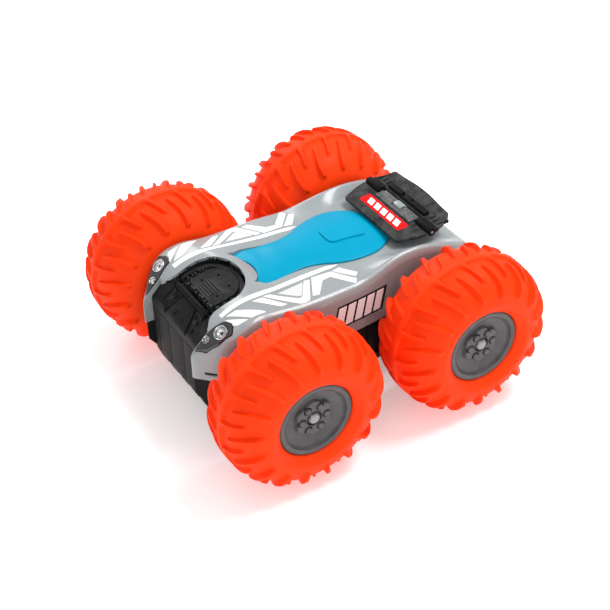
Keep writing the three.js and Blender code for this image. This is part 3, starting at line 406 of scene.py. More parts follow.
def combine(obj, operation, tools):
    for tool in tools:
        change = obj.modifiers.new(operation.lower(), "BOOLEAN")
        change.operation = operation
        change.object = tool
        change.solver = "EXACT"
    settle(obj)
    for tool in tools:
        bpy.data.objects.remove(tool)
    return obj


def cut(obj, *tools):
    return combine(obj, "DIFFERENCE", tools)


def add(obj, *tools):
    return combine(obj, "UNION", tools)


def common(obj, *tools):
    return combine(obj, "INTERSECT", tools)


def merged(obj, *others):
    """Puts closed bodies that only touch or lie inside one another into one object."""
    points, faces = [], []
    for part in (obj, *others):
        start = len(points)
        points += [part.matrix_world @ vertex.co for vertex in part.data.vertices]
        faces += [[start + corner for corner in face.vertices] for face in part.data.polygons]
    mesh = bpy.data.meshes.new(obj.name)
    mesh.from_pydata(points, [], faces)
    for material in obj.data.materials:
        mesh.materials.append(material)
    obj.data = mesh
    for part in others:
        bpy.data.objects.remove(part)
    return obj


def bevelled(obj, width, segments=2, angle=30):
    bevel = obj.modifiers.new("edges", "BEVEL")
    bevel.width = width * MM
    bevel.segments = segments
    bevel.limit_method = "ANGLE"
    bevel.angle_limit = math.radians(angle)
    bevel.use_clamp_overlap = True
    settle(obj)
    return smooth(obj)


def moved(obj, x, y, z):
    """Moves an object's mesh by millimetres."""
    obj.data.transform(Matrix.Translation(Vector((x, y, z)) * MM))
    return obj


def mirrored(obj, name):
    """A copy of obj across the car's middle plane."""
    mesh = obj.data.copy()
    mesh.transform(Matrix.Scale(-1, 4, Vector((0, 1, 0))))
    mesh.flip_normals()
    mesh.name = name
    return scene_object(name, mesh)


def bend(before, corner, after, reach, steps):
    """Points of a short curve in place of a corner."""
    back, ahead = before - corner, after - corner
    far_back, far_ahead = np.linalg.norm(back), np.linalg.norm(ahead)
    reach = min(reach, 0.45 * far_back, 0.45 * far_ahead)
    start, end = corner + back / far_back * reach, corner + ahead / far_ahead * reach
    parts = [step / steps for step in range(steps + 1)]
    return [(1 - t) ** 2 * start + 2 * t * (1 - t) * corner + t ** 2 * end for t in parts]


def rounded(outline, radius, steps=5):
    """An outline with its corners turned into short curves."""
    points = np.asarray(outline, float)
    result = []
    for at, corner in enumerate(points):
        after = points[(at + 1) % len(points)]
        result += bend(points[at - 1], corner, after, radius, steps)
    return np.array(result)


def curve_through(knots, at):
    """Smooth values at the given places, from rows of place and values."""
    places, values = knots[:, 0], knots[:, 1:]
    slopes = np.gradient(values, places, axis=0)
    low = np.clip(np.searchsorted(places, at) - 1, 0, len(places) - 2)
    width = (places[low + 1] - places[low])[:, None]
    t = ((at - places[low])[:, None]) / width
    start, end = values[low], values[low + 1]
    return (
        (2 * t ** 3 - 3 * t ** 2 + 1) * start
        + (t ** 3 - 2 * t ** 2 + t) * width * slopes[low]
        + (3 * t ** 2 - 2 * t ** 3) * end
        + (t ** 3 - t ** 2) * width * slopes[low + 1]
    )


def smoothstep(low, high, value):
    t = np.clip((value - low) / (high - low), 0, 1)
    return t * t * (3 - 2 * t)


def both_halves(edge):
    """The closed outline of a shape from the (x, y) points of its left half."""
    right = [(x, -y) for x, y in edge if y > 0.01]
    return np.array(list(map(tuple, edge)) + right[::-1])


def beside(side, inner, outer):
    """From inner to outer on one side of the car, the lower end first."""
    return sorted((side * inner, side * outer))


def box_of(node):
    """The corners of a CAD node's box in millimetres."""
    return [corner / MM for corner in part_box(node)]


def piece(obj, body, slot, *nodes):
    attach(obj, body)
    if nodes:
        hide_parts(*nodes)
    return obj


# ---- Materials ----

CLOUDS = (0.3, 0.7)  # the part of the noise that the mottle and the gloss are spread over


def put(node, **values):
    """Sets a node's inputs by name, with an underscore for each space."""
    for name, value in values.items():
        node.inputs[name.replace("_", " ")].default_value = value
    return node


def plastic(name, color, roughness, metallic=0.0, coat=0.0, mottle=0.05, mottle_size=8.0,
            grain=0.05, grain_size=0.35, wear=0.0, specular=0.5):
    """Moulded plastic, rubber or metal: a mottled colour, uneven gloss and a fine grain."""
    material = bpy.data.materials.new(name)
    material.use_nodes = True
    nodes, links = material.node_tree.nodes, material.node_tree.links
    shader = put(nodes["Principled BSDF"], Metallic=metallic, Coat_Weight=coat,
                 Coat_Roughness=0.08, Specular_IOR_Level=specular)
    place = nodes.new("ShaderNodeTexCoord").outputs["Object"]

    clouds = put(nodes.new("ShaderNodeTexNoise"), Scale=1 / (mottle_size * MM), Detail=6)
    links.new(place, clouds.inputs["Vector"])
    shade = nodes.new("ShaderNodeValToRGB")
    for stop, position, change in zip(shade.color_ramp.elements, CLOUDS, (-mottle, mottle)):
        stop.position = position
        stop.color = (*[min(1, c * (1 + change)) for c in color], 1)
    links.new(clouds.outputs["Fac"], shade.inputs["Fac"])
    last = shade.outputs["Color"]
    if wear > 0:
        edges = nodes.new("ShaderNodeNewGeometry")
        sharp = put(nodes.new("ShaderNodeMapRange"), From_Min=0.52, From_Max=0.62, To_Max=wear)
        links.new(edges.outputs["Pointiness"], sharp.inputs["Value"])
        rubbed = nodes.new("ShaderNodeMix")
        rubbed.data_type = "RGBA"
        rubbed.inputs["B"].default_value = (*[min(1, c * 1.3 + 0.12) for c in color], 1)
        links.new(sharp.outputs["Result"], rubbed.inputs["Factor"])
        links.new(last, rubbed.inputs["A"])
        last = rubbed.outputs["Result"]
    links.new(last, shader.inputs["Base Color"])

    gloss = put(nodes.new("ShaderNodeMapRange"), From_Min=CLOUDS[0], From_Max=CLOUDS[1],
                To_Min=roughness * 0.9, To_Max=min(1, roughness * 1.12))
    links.new(clouds.outputs["Fac"], gloss.inputs["Value"])
    links.new(gloss.outputs["Result"], shader.inputs["Roughness"])

    fine = put(nodes.new("ShaderNodeTexNoise"), Scale=1 / (grain_size * MM), Detail=3)
    links.new(place, fine.inputs["Vector"])
    bump = put(nodes.new("ShaderNodeBump"), Strength=grain, Distance=grain_size * MM)
    links.new(fine.outputs["Fac"], bump.inputs["Height"])
    links.new(bump.outputs["Normal"], shader.inputs["Normal"])
    return material


LOOKS = {
    "silver": plastic("silver_paint", (0.275, 0.302, 0.308), 0.3, coat=0.3, mottle=0.08,
                      mottle_size=0.8, grain=0.12, grain_size=0.3, specular=0.4),
    "black": plastic("black_plastic", (0.006, 0.0062, 0.0064), 0.46, mottle=0.4, mottle_size=4,
                     grain=0.3, grain_size=0.5, wear=0.06, specular=0.06),
    "nose": plastic("nose_black_plastic", (0.0115, 0.0116, 0.012), 0.48, mottle=0.4,
                    mottle_size=4, grain=0.4, grain_size=0.6, wear=0.12, specular=0.08),
    "tray": plastic("tray_black_plastic", (0.014, 0.014, 0.0145), 0.5, mottle=0.5,
                    mottle_size=3, grain=0.5, grain_size=0.6, wear=0.25, specular=0.1),
    "worn_black": plastic("worn_black_plastic", (0.03, 0.0305, 0.031), 0.5, mottle=0.85,
                          mottle_size=5, grain=0.5, grain_size=0.8, wear=0.12, specular=0.12),
    "worn_grey": plastic("worn_grey_plastic", (0.085, 0.086, 0.088), 0.55, mottle=0.6,
                         mottle_size=3, grain=0.6, grain_size=0.8, specular=0.3),
    "gloss_black": plastic("gloss_black_plastic", (0.02, 0.02, 0.022), 0.16, coat=0.4,
                           mottle=0.1, grain=0.02),
    "blue": plastic("canopy_blue", (0.0, 0.30, 0.48), 0.3, coat=0.02, mottle=0.03,
                    mottle_size=20, grain=0.015, specular=0.06),
    "white": plastic("livery_white", (0.86, 0.865, 0.87), 0.35, mottle=0.02, grain=0.03),
    "pale": plastic("livery_pale_grey", (0.62, 0.625, 0.63), 0.35, mottle=0.02, grain=0.03),
    "red": plastic("label_red", (0.72, 0.004, 0.006), 0.4, mottle=0.03, grain=0.02,
                   specular=0.08),
    "tyre": plastic("orange_rubber", (0.93, 0.047, 0.003), 0.5, mottle=0.06, mottle_size=15,
                    grain=0.12, grain_size=0.5, specular=0.09),
    "rim": plastic("rim_grey_plastic", (0.078, 0.078, 0.08), 0.42, mottle=0.25,
                   mottle_size=7, grain=0.15, grain_size=0.4, wear=0.1, specular=0.35),
    "nut": plastic("nut_steel", (0.30, 0.30, 0.31), 0.4, metallic=0.5, mottle=0.06, grain=0.08),
    "steel": plastic("steel", (0.56, 0.56, 0.57), 0.28, metallic=1.0, mottle=0.1,
                     mottle_size=3, grain=0.08, grain_size=0.2),
    "chrome": plastic("lamp_chrome", (0.66, 0.665, 0.675), 0.2, metallic=1.0, mottle=0.1,
                      mottle_size=3, grain=0.05, grain_size=0.2),
    "gear": plastic("gear_nylon", (0.78, 0.76, 0.68), 0.45, mottle=0.05, grain=0.06),
    "cells": plastic("battery_wrap", (0.03, 0.15, 0.45), 0.3, coat=0.3, mottle=0.06),
    "board": plastic("board_green", (0.02, 0.14, 0.06), 0.35, coat=0.3, mottle=0.25,
                     mottle_size=2.5, grain=0.2, grain_size=0.6),
}


def paint_cad(look, *prefixes):
    """Gives CAD nodes that keep their shape a procedural material."""
    for name, node in frame["nodes"].items():
        if name.startswith(prefixes):
            node.data.materials.clear()
            node.data.materials.append(LOOKS[look])


# ---- Tyres, about the wheel's own middle with +Y outboard ----

def tyre_section(turn):
    """(radius, y) on the carcass: turn runs from 0 outboard, over the crown, to pi inboard."""
    half = np.where(turn < math.pi / 2, TYRE.outboard_half, TYRE.inboard_half)
    aside = np.sign(np.cos(turn)) * np.abs(np.cos(turn)) ** TYRE.power
    height = np.clip(np.sin(turn), 0, 1) ** TYRE.power
    rise = TYRE.carcass_radius - TYRE.widest_radius
    radius = TYRE.widest_radius + rise * height
    roll = smoothstep(TYRE.bead_from, TYRE.widest_radius, radius)
    bead = np.where(turn < math.pi / 2, TYRE.bead_in_outboard, TYRE.bead_in_inboard)
    return np.stack([radius, half * aside - np.sign(aside) * bead * roll], -1)


def rows_of_section():
    """Rows along the carcass from bead to bead: distance from the crown, point and normal."""
    turn = np.linspace(0.02, math.pi - 0.02, ROWS.samples)
    points = tyre_section(turn)
    steps = np.linalg.norm(np.diff(points, axis=0), axis=1)
    length = np.concatenate([[0], np.cumsum(steps)])
    along = length[ROWS.samples // 2] - length
    fine = np.linspace(ROWS.fine_to, ROWS.fine_from, ROWS.fine)
    rib = np.array(ROWS.rib)
    wanted = np.concatenate([
        np.arange(along[0], ROWS.fine_to, -ROWS.coarse), fine, rib, [0], -rib[::-1], -fine[::-1],
        np.arange(-ROWS.fine_to - ROWS.coarse, along[-1], -ROWS.coarse),
    ])
    rows = np.stack([np.interp(-wanted, -along, points[:, axis]) for axis in (0, 1)], -1)
    tangent = np.gradient(points, axis=0)
    tangent = np.stack([np.interp(-wanted, -along, tangent[:, axis]) for axis in (0, 1)], -1)
    tangent /= np.linalg.norm(tangent, axis=1, keepdims=True)
    normal = np.stack([-tangent[:, 1], tangent[:, 0]], -1)
    return wanted, rows, normal


def lug_sizes(reach, lug):
    """Half width, widening at the foot and height of a lug at distances from the crown."""
    fillet = lug.fillet * (1 - smoothstep(*FILLET_REACH, reach)) ** 2
    return np.stack([np.interp(reach, *lug.half_width), fillet, np.interp(reach, *lug.height)])


def tread_columns(reach, outboard, radius):
    """Bearings and heights of the columns of one pair of lugs, with the rib between them."""
    long_lug, short_lug = lug_sizes(reach, LONG_LUG), lug_sizes(reach, SHORT_LUG)
    lugs = [np.where(outboard == bool(lug), long_lug, short_lug) for lug in range(2)]
    pitch = 2 * math.pi / TYRE.lugs
    angle, height = [], []
    for lug, (width, fillet, tall) in enumerate(lugs):
        for side in LUG_COLUMNS:
            edge = width + (fillet if side < 0 else 0)
            angle.append(lug * pitch / 2 + side * edge / radius)
            height.append(tall * (1 - smoothstep(*LUG_FLANK, abs(side))))
        start = angle[-1]
        next_width, next_fillet, _ = lugs[1 - lug]
        edge = LUG_COLUMNS[0] * (next_width + next_fillet)
        stop = (lug + 1) * pitch / 2 + edge / radius
        for part in range(1, COLUMNS_BETWEEN + 1):
            angle.append(start + (stop - start) * part / (COLUMNS_BETWEEN + 1))
            height.append(np.zeros_like(reach))
    half = TYRE.rib_half
    rib = TYRE.rib_height * (1 - smoothstep(half - 0.5, half + 0.5, reach))
    return np.array(angle), np.maximum(height, rib[None, :])


def tyre_mesh():
    """The tyre: its lugs are long on one side of the crown where they are short on the other."""
    along, rows, normal = rows_of_section()
    reach = np.abs(along)
    angle, height = tread_columns(reach, along > 0, rows[:, 0])
    trail = TYRE.sweep * np.sin(np.clip(reach / TYRE.shoulder, 0, 1) * math.pi / 2) ** 2
    radius = rows[:, 0] + height * normal[:, 0]
    side = np.clip(rows[:, 1] + height * normal[:, 1], -TYRE.inboard_half, TYRE.outboard_half)
    inside, inside_y = TYRE_INSIDE.T
    rings = []
    for turn in np.arange(TYRE.lugs) * 2 * math.pi / TYRE.lugs:
        for column, bearing in enumerate(angle):
            ahead = bearing + trail + turn
            outer = np.stack([radius[column] * np.cos(ahead), side[column],
                              radius[column] * np.sin(ahead)], -1)
            flat = float(np.mean(bearing)) + turn
            hidden = np.stack([inside * math.cos(flat), inside_y, inside * math.sin(flat)], -1)
            rings.append(np.concatenate([outer, hidden]))
    return smooth(loft("tyre_blank", np.array(rings)[::-1], LOOKS["tyre"], closed=True), 60)


def wheel_place(end, side):
    x = HUB.x if end == "front" else -HUB.x
    y = HUB.y if side == "left" else -HUB.y
    return Vector((x, y, HUB.z)) * MM


def add_tyres():
    left = tyre_mesh()
    right = mirrored(left, "tyre_blank_right")
    for (end, side), degrees in TREAD_TURNS.items():
        # The rear right tyre is mounted the other way round, so it is a left one turned.
        turned_round = end == "rear" and side == "right"
        blank = right if side == "right" and not turned_round else left
        obj = scene_object(f"tyre_{end}_{side}_look", blank.data.copy())
        tread = Matrix.Rotation(-math.radians(degrees), 4, "Y")
        mount = Matrix.Rotation(math.pi if turned_round else 0, 4, "Z")
        obj.data.transform(mount @ tread)
        obj.location = wheel_place(end, side)
        piece(obj, f"wheel_{end}_{side}", "tyre_orange", f"tyre_{end}_{side}")
    for blank in (left, right):
        bpy.data.objects.remove(blank)


# ---- Rims and nuts ----

def rim_mesh():
    flange, face = RIM.flange_radius, RIM.outboard_face
    bore, back = RIM.bore_radius, RIM.inboard_face
    step, disc = RIM.step_radius, RIM.disc_face
    profile = [
        (bore, back + 0.4), (bore + 0.4, back), (flange - 0.5, back), (flange, back + 0.5),
        (flange, back + 4.1), (flange - 0.4, back + 4.5), (22.5, back + 4.5),
        (22.5, face - 5), (flange - 0.4, face - 5), (flange, face - 4.6),
        (flange, face - 1.2), (flange - 0.35, face - 0.4), (flange - 1.1, face),
        (step + 1.3, face - 0.15), (step + 0.5, face - 0.5), (step + 0.2, disc + 0.35),
        (step - 0.1, disc - 0.1), (step - 0.7, disc - 0.15), (step - 1.2, disc + 0.1),
        (16.5, 17.9), (13.4, 17.0), (12.2, RIM.disc_foot + 0.1), (11, RIM.disc_foot),
        (RIM.well_radius, RIM.disc_foot), (RIM.axle_hole, RIM.disc_foot),
        (RIM.axle_hole, RIM.hub_end), (RIM.hub_radius - 0.4, RIM.hub_end),
        (RIM.hub_radius, RIM.hub_end + 0.4), (RIM.hub_radius, RIM.disc_back - 0.8),
        (RIM.hub_radius + 0.8, RIM.disc_back), (bore - 0.8, RIM.disc_back),
        (bore, RIM.disc_back - 0.8),
    ]
    rim = turned("rim_blank", profile, material=LOOKS["rim"])
    return smooth(add(rim, add_boss_details(lobed_boss())), 30)


def ring_about_y(turns, reach, height):
    """Points round Y at one height, with the reach at each bearing."""
    return np.stack([reach * np.sin(turns), np.full(len(turns), height), reach * np.cos(turns)], -1)


def lobed_boss():
    """The raised six-lobed boss that carries the studs."""
    turns = np.arange(120) * 2 * math.pi / 120
    radius = RIM.boss_radius + RIM.boss_lobe * np.cos(STUDS * turns)
    face, foot = RIM.boss_face, RIM.disc_foot
    levels = [(0.9, foot - 1), (0.35, foot + 0.5), (0.1, face - 0.6), (-0.25, face - 0.15),
              (-0.7, face)]
    rings = [ring_about_y(turns, radius + grow, height) for grow, height in levels]
    return loft("boss", rings, LOOKS["rim"])


def add_boss_details(boss):
    tools, studs = [], []
    for stud in range(STUDS):
        angle = stud * 2 * math.pi / STUDS
        x = RIM.stud_circle * math.cos(angle)
        z = RIM.stud_circle * math.sin(angle)
        tools.append(rod("pocket", RIM.pocket_radius, (RIM.pocket_floor, 25), (x, z), 24))
        profile = [(0.01, RIM.pocket_floor - 0.5), (RIM.stud_radius, RIM.pocket_floor - 0.5),
                   (RIM.stud_radius, RIM.stud_face - 0.5),
                   (RIM.stud_radius - 0.5, RIM.stud_face), (0.01, RIM.stud_face + 0.1)]
        studs.append(moved(turned("stud", profile, 24), x, 0, z))
    tools.append(rod("well", RIM.well_radius, (RIM.well_floor - 3, 25), sides=48))
    return add(cut(boss, *tools), *studs)


def nut_mesh():
    """A hexagon nut with rounded corners and a domed cap over the end of the axle."""
    turns = np.arange(96) * 2 * math.pi / 96
    flat = math.cos(math.pi / 6) / np.cos((turns + math.pi / 6) % (math.pi / 3) - math.pi / 6)
    flat = np.minimum(flat, 0.965)
    foot, face = NUT.foot, NUT.face
    rings = []
    for scale, height, hexagon in (
        (1, foot, 1), (1, face - 1.9, 1), (0.95, face - 1.4, 0.8), (0.86, face - 0.9, 0.3),
        (0.74, face - 0.45, 0), (0.5, face - 0.1, 0), (0.25, face, 0),
    ):
        reach = NUT.radius * scale * (hexagon * flat + (1 - hexagon))
        rings.append(ring_about_y(turns, reach, height))
    nut = loft("nut_blank", rings, LOOKS["nut"])
    bore = rod("bore", RIM.axle_hole, (foot - 1, face - 1.2), sides=32)
    return smooth(cut(nut, bore), 30)


def add_rims():
    rim, nut = rim_mesh(), nut_mesh()
    for blank, name, slot in ((rim, "rim", "rim_grey"), (nut, "wheel_nut", "steel")):
        other = mirrored(blank, f"{name}_right")
        for end, _ in ENDS:
            for side, _ in SIDES:
                mesh = (blank if side == "left" else other).data
                obj = scene_object(f"{name}_{end}_{side}_look", mesh)
                obj.location = wheel_place(end, side)
                piece(obj, f"wheel_{end}_{side}", slot, f"{name}_{end}_{side}")
        for part in (blank, other):
            bpy.data.objects.remove(part)


# ---- Body surface ----

def softened(corners, reaches, steps=4):
    """An open line with its inner corners turned into short curves."""
    points = np.asarray(corners, float)
    result = [points[0]]
    for at, reach in enumerate(reaches, start=1):
        result += bend(points[at - 1], points[at], points[at + 1], reach, steps)
    return np.array([*result, points[-1]])


def body_ring(row, x, offset, bottom):
    """The body's cross-section at x, moved outward by offset."""
    half_width, shoulder, ridge_y, ridge_z, middle = row
    side = half_width + offset
    crest = half_width - SHOULDER.crest_in + min(offset, 0)
    fall = RIDGE.drop * math.tanh(2 * (ridge_z - middle))
    left = softened([
        (side, bottom),
        (side, shoulder - SHOULDER.wall_drop),
        (side - SHOULDER.edge_in, shoulder - SHOULDER.edge_drop + offset),
        (crest, shoulder + offset),
        ((crest + ridge_y) / 2, (shoulder + ridge_z) / 2 + offset),
        (ridge_y, ridge_z + offset),
        (ridge_y - RIDGE.slope, ridge_z + offset - fall),
        (ridge_y * RIDGE.flat_part, middle + offset - RIDGE.flat_drop),
        (0, middle + offset),
    ], SECTION_BENDS)
    right = left[:-1][::-1] * (-1, 1)
    return [(x, y, z) for y, z in (*left, *right)]


def body_solid(name, offset, bottom, material=None, end_round=0.0):
    """The body as a solid, with its front and rear edges turned in by end_round."""
    rear, front = BODY.rear - offset, BODY.front + offset
    places = np.linspace(rear, front, BODY.rings)
    if end_round:
        near_end = end_round * np.array([0.06, 0.25, 0.6])
        places = np.sort(np.concatenate([places, rear + near_end, front - near_end]))
    rows = curve_through(STATIONS, places)
    rings = []
    for x, row in zip(places, rows):
        inside = min(x - rear, front - x, end_round)
        turn_in = end_round - math.sqrt(end_round ** 2 - (end_round - inside) ** 2)
        rings.append(body_ring(row, x, offset - turn_in, bottom))
    return loft(name, rings, material)


def body_skin(name, material, over):
    """A thin layer over the whole body, to cut decals from."""
    skin = body_solid(name, over, 40, material)
    return cut(skin, body_solid("under", -0.3, 39))


def canopy_outline(extra):
    """The plan of the canopy without the hollow in its front edge, moved outward by extra."""
    places = np.linspace(CANOPY_EDGE[0, 0], CANOPY_EDGE[-1, 0], 64)
    half = curve_through(CANOPY_EDGE, places)[:, 0] + extra
    places[0] -= extra
    places[-1] += 2 * extra
    return both_halves(np.stack([places, half], -1))


def canopy_plan(name, extra):
    plan = prism(name, canopy_outline(extra), (60, BEYOND))
    at = (CANOPY_FRONT.x, 0)
    return cut(plan, rod("hollow", CANOPY_FRONT.radius - extra, (50, 130), at, 96, "z"))


def bay_outline(inset=0.0):
    """The plan of the opening in the bonnet, open to the nose."""
    edge = [(x + inset, max(y - inset, 0)) for x, y in BAY_EDGE]
    edge.append((BODY.front, BAY_EDGE[-1, 1] - inset))
    return rounded(both_halves(edge), BAY.bend)


def pod_outline(grow, side=1):
    points = np.array(POD_OUTLINE)
    middle = points.mean(axis=0)
    away = points - middle
    points = middle + away * (1 + grow / np.linalg.norm(away, axis=1, keepdims=True))
    return rounded(points, 1.2) * (1, side)


def add_shell():
    shell = body_solid("upper_shell_look", 0, BODY.split + GAP / 2, LOOKS["silver"],
                       BODY.end_round)
    half, ahead = NOSE.half_width, BODY.front + 9
    hollow = cut(
        body_solid("hollow", -WALL, BODY.split - 9),
        block("core", (NOSE.wall_x, -half - WALL, 0), (ahead, half + WALL, BEYOND)),
    )
    openings = [
        block("nose_gap", (NOSE.gap_x, -half, 0), (ahead, half, BEYOND)),
        prism("bay", bay_outline(), (BAY.floor, BEYOND)),
        canopy_plan("canopy_gap", GAP),
    ]
    (x0, inner, z0), (x1, outer, z1) = FENDER_SLOT
    for _, side in SIDES:
        openings.append(prism("pod", pod_outline(2 * GAP, side), (60, BEYOND)))
        y0, y1 = beside(side, inner, outer)
        openings.append(block("slot", (x0, y0, z0), (x1, y1, z1)))
    for x in (-HUB.x, HUB.x):
        openings.append(rod("axle_hole", BUSH_RADIUS + GAP, (-60, 60), (x, HUB.z), 48))
    cut(shell, hollow, *openings)
    bevelled(shell, 0.35, 2, 40)
    add(shell, bay_wall(), hinge_knuckle())
    piece(smooth(shell, 38), "chassis", "body_silver", "upper_shell")


def bay_wall():
    """The skirt that runs down from the edge of the bay."""
    wall = prism("bay_wall", bay_outline(-BAY.wall), (BAY.wall_foot, BEYOND),
                 material=LOOKS["silver"])
    cut(wall, prism("bay", bay_outline(), (BAY.cut_foot, BEYOND + 5)),
        block("front", (BAY.wall_front, -40, BAY.cut_foot), (110, 40, BEYOND + 5)))
    return common(wall, body_solid("under_skin", -0.8, BAY.skin_foot))


def hinge_knuckle():
    """The bracket that holds the wing's hinge pin."""
    half, foot = KNUCKLE.half, KNUCKLE.foot
    head = [(HINGE.x + half * math.cos(a), HINGE.z + KNUCKLE.head * math.sin(a))
            for a in np.linspace(0, math.pi, 17)]
    outline = [(HINGE.x + half, foot), *head, (HINGE.x - half, foot)]
    wide = KNUCKLE.half_width
    bracket = bevelled(prism("knuckle", outline, (-wide, wide), "y", LOOKS["silver"]), 0.5, 2, 50)
    return cut(bracket, pin_bore(10))


def pin_bore(reach=50):
    """A cutter along the hinge pin, as far as reach to either side."""
    return rod("bore", PIN_RADIUS + GAP, (-reach, reach), (HINGE.x, HINGE.z))


def add_canopy():
    places = np.linspace(CANOPY_EDGE[0, 0], CANOPY_EDGE[-1, 0], 48)
    half = curve_through(CANOPY_EDGE, places)[:, 0] + 3
    middle = curve_through(STATIONS, np.minimum(places, CANOPY_FRONT.body_to))[:, 4]
    parts = np.linspace(1, -1, 33)
    dome = 1 - np.abs(parts) ** CANOPY_CROWN.power
    away = (places - CANOPY_CROWN.x) / CANOPY_CROWN.reach
    crown = CANOPY_CROWN.height * np.cos(away * math.pi / 2)

    def dome_solid(name, lift):
        rings = []
        for x, wide, low, rise in zip(places, half, middle, crown):
            top = [(x, part * wide, low + lift + rise * d) for part, d in zip(parts, dome)]
            under = [(x, y, z - WALL) for _, y, z in top[::-1]]
            rings.append(top + under)
        return loft(name, rings, LOOKS["blue"])

    canopy = common(dome_solid("canopy_look", CANOPY_CROWN.lift), canopy_plan("plan", 0))
    bevelled(canopy, 0.4, 2, 45)
    roof = common(
        dome_solid("canopy_roof_look", ROOF_LIFT),
        prism("roof", rounded(both_halves(ROOF_EDGE), 4), (70, 120)),
    )
    bevelled(roof, 0.35, 2, 45)
    piece(smooth(canopy, 45), "chassis", "canopy_blue", "canopy")
    piece(smooth(roof, 45), "chassis", "canopy_blue")


# ---- Livery ----

def add_decals(name, look, slot, tools, over=0.12):
    """A thin decal on the body's left where the tools meet its skin, and its mirror image."""
    decal = common(body_skin(f"{name}_left_look", LOOKS[look], over), merged(*tools))
    for part in (decal, mirrored(decal, f"{name}_right_look")):
        piece(smooth(part, 45), "chassis", slot)


def add_livery():
    for name, look, outlines in (
        ("livery", "white", [*WHITE_PATCHES, RIDGE_STRIPE]),
        ("livery_pale", "pale", PALE_PATCHES),
    ):
        add_decals(name, look, "livery_white",
                   [prism("decal", outline, (70, 110)) for outline in outlines])


def side_bars():
    """Slanted bars in place of lettering on the side wall, as (x, z) outlines."""
    low, high, width = SIDE_PANEL.bar_low, SIDE_PANEL.bar_high, SIDE_PANEL.bar_width
    lean = SIDE_PANEL.lean * (high - low)
    return [[(x, low), (x - width, low), (x - width - lean, high), (x - lean, high)]
            for x in SIDE_PANEL.bar_first - SIDE_PANEL.bar_step * np.arange(SIDE_PANEL.bars)]


def add_side_panels():
    low, high = SIDE_PANEL.low, SIDE_PANEL.high
    front, rear = SIDE_PANEL.front, SIDE_PANEL.rear
    lean = SIDE_PANEL.lean * (high - low)
    panel = [(front, low), (rear, low), (rear - lean, high), (front - lean, high)]
    for name, look, slot, outlines, over in (
        ("side_panel", "black", "black_plastic", [panel], 0.12),
        ("side_bars", "white", "livery_white", side_bars(), 0.22),
    ):
        tools = [prism("decal", outline, (35, 60), "y") for outline in outlines]
        add_decals(name, look, slot, tools, over)


# ---- Nose, engine cover and lamps ----

def layer(name, line, lift, thickness, outline, material=None):
    """A plate that follows a line of (x, z) points, with an (x, y) outline."""
    line = np.asarray(line, float)
    low, high = line + (0, lift), line + (0, lift + thickness)
    half = np.abs(np.asarray(outline, float)[:, 1]).max() + 1
    slab = prism(name, np.concatenate([low, high[::-1]]), (-half, half), "y", material)
    zs = (line[:, 1].min() + lift - 5, line[:, 1].max() + lift + thickness + 5)
    return common(slab, prism("plan", outline, zs))


def add_nose_panel():
    """The nose with a step down each side of its top, brackets in the steps and a notched foot."""
    half = NOSE.half_width
    panel = prism("nose_panel_look", rounded(NOSE_SECTION, 1.6), (-half, half), "y", LOOKS["nose"])
    common(panel, prism("plan", rounded(both_halves(NOSE_EDGE), 1), (10, 110)))
    wide, top = NOSE_NOTCHES.half, NOSE_NOTCHES.top
    tools = [block("notch", (80, y - wide, 0), (99, y + wide, top)) for y in NOSE_NOTCHES.places]
    tools.append(layer("slit", NOSE_SLOPE, -0.8, 6, NOSE_SLIT))
    brackets = []
    for _, side in SIDES:
        for outline, depth in NOSE_CUTS:
            plan = np.array(outline) * (1, side)
            tools.append(layer("cut", NOSE_SLOPE, -depth, 6 + depth, plan))
        for outline, foot, height in NOSE_BRACKETS:
            plan = np.array(outline) * (1, side)
            brackets.append(layer("bracket", NOSE_SLOPE, foot, height, plan))
    x, thin, low, high = NOSE_LINES.x, NOSE_LINES.half, NOSE_LINES.low, NOSE_LINES.high
    for y in NOSE_LINES.places:
        tools.append(block("line", (x, y - thin, low), (99, y + thin, high)))
    tools.append(block("line", (x, -half, high), (99, half, high + 2 * thin)))
    bevelled(cut(panel, *tools), 0.3, 2, 40)
    add(panel, merged(*brackets))
    piece(smooth(panel), "chassis", "black_plastic", "nose_panel")


def engine_height(x):
    return float(np.interp(x, *np.array(ENGINE_LINE[::-1]).T))


def engine_ribs():
    long, half = ENGINE.rib_length / 2, ENGINE.rib_half
    for x in ENGINE.rib_first + ENGINE.rib_step * np.arange(ENGINE.ribs):
        top = engine_height(x) + ENGINE.plate_lift + ENGINE.rib_height
        yield block("rib", (x - half, -long, top - 2), (x + half, long, top))


def engine_fins():
    for at in range(FINS.count):
        x, y = FINS.first_x + FINS.step * at, FINS.y + FINS.y_step * (at * 7 % 3)
        top = engine_height(x) + FINS.rise * (at * 5 % 3) - 0.4
        for _, side in SIDES:
            low, high = beside(side, y - 1.0, y + 0.8)
            yield block("fin", (x - FINS.half, low, top - 2.5), (x + FINS.half, high, top))


def engine_teeth():
    for at in range(TEETH.count):
        y = TEETH.step * (at - TEETH.count // 2) + TEETH.y_step * (at * 5 % 3)
        top = engine_height(77) + TEETH.rise * (at * 7 % 3)
        yield block("tooth", (TEETH.rear, y - TEETH.half, top - 2.5),
                    (TEETH.front, y + TEETH.half, top))


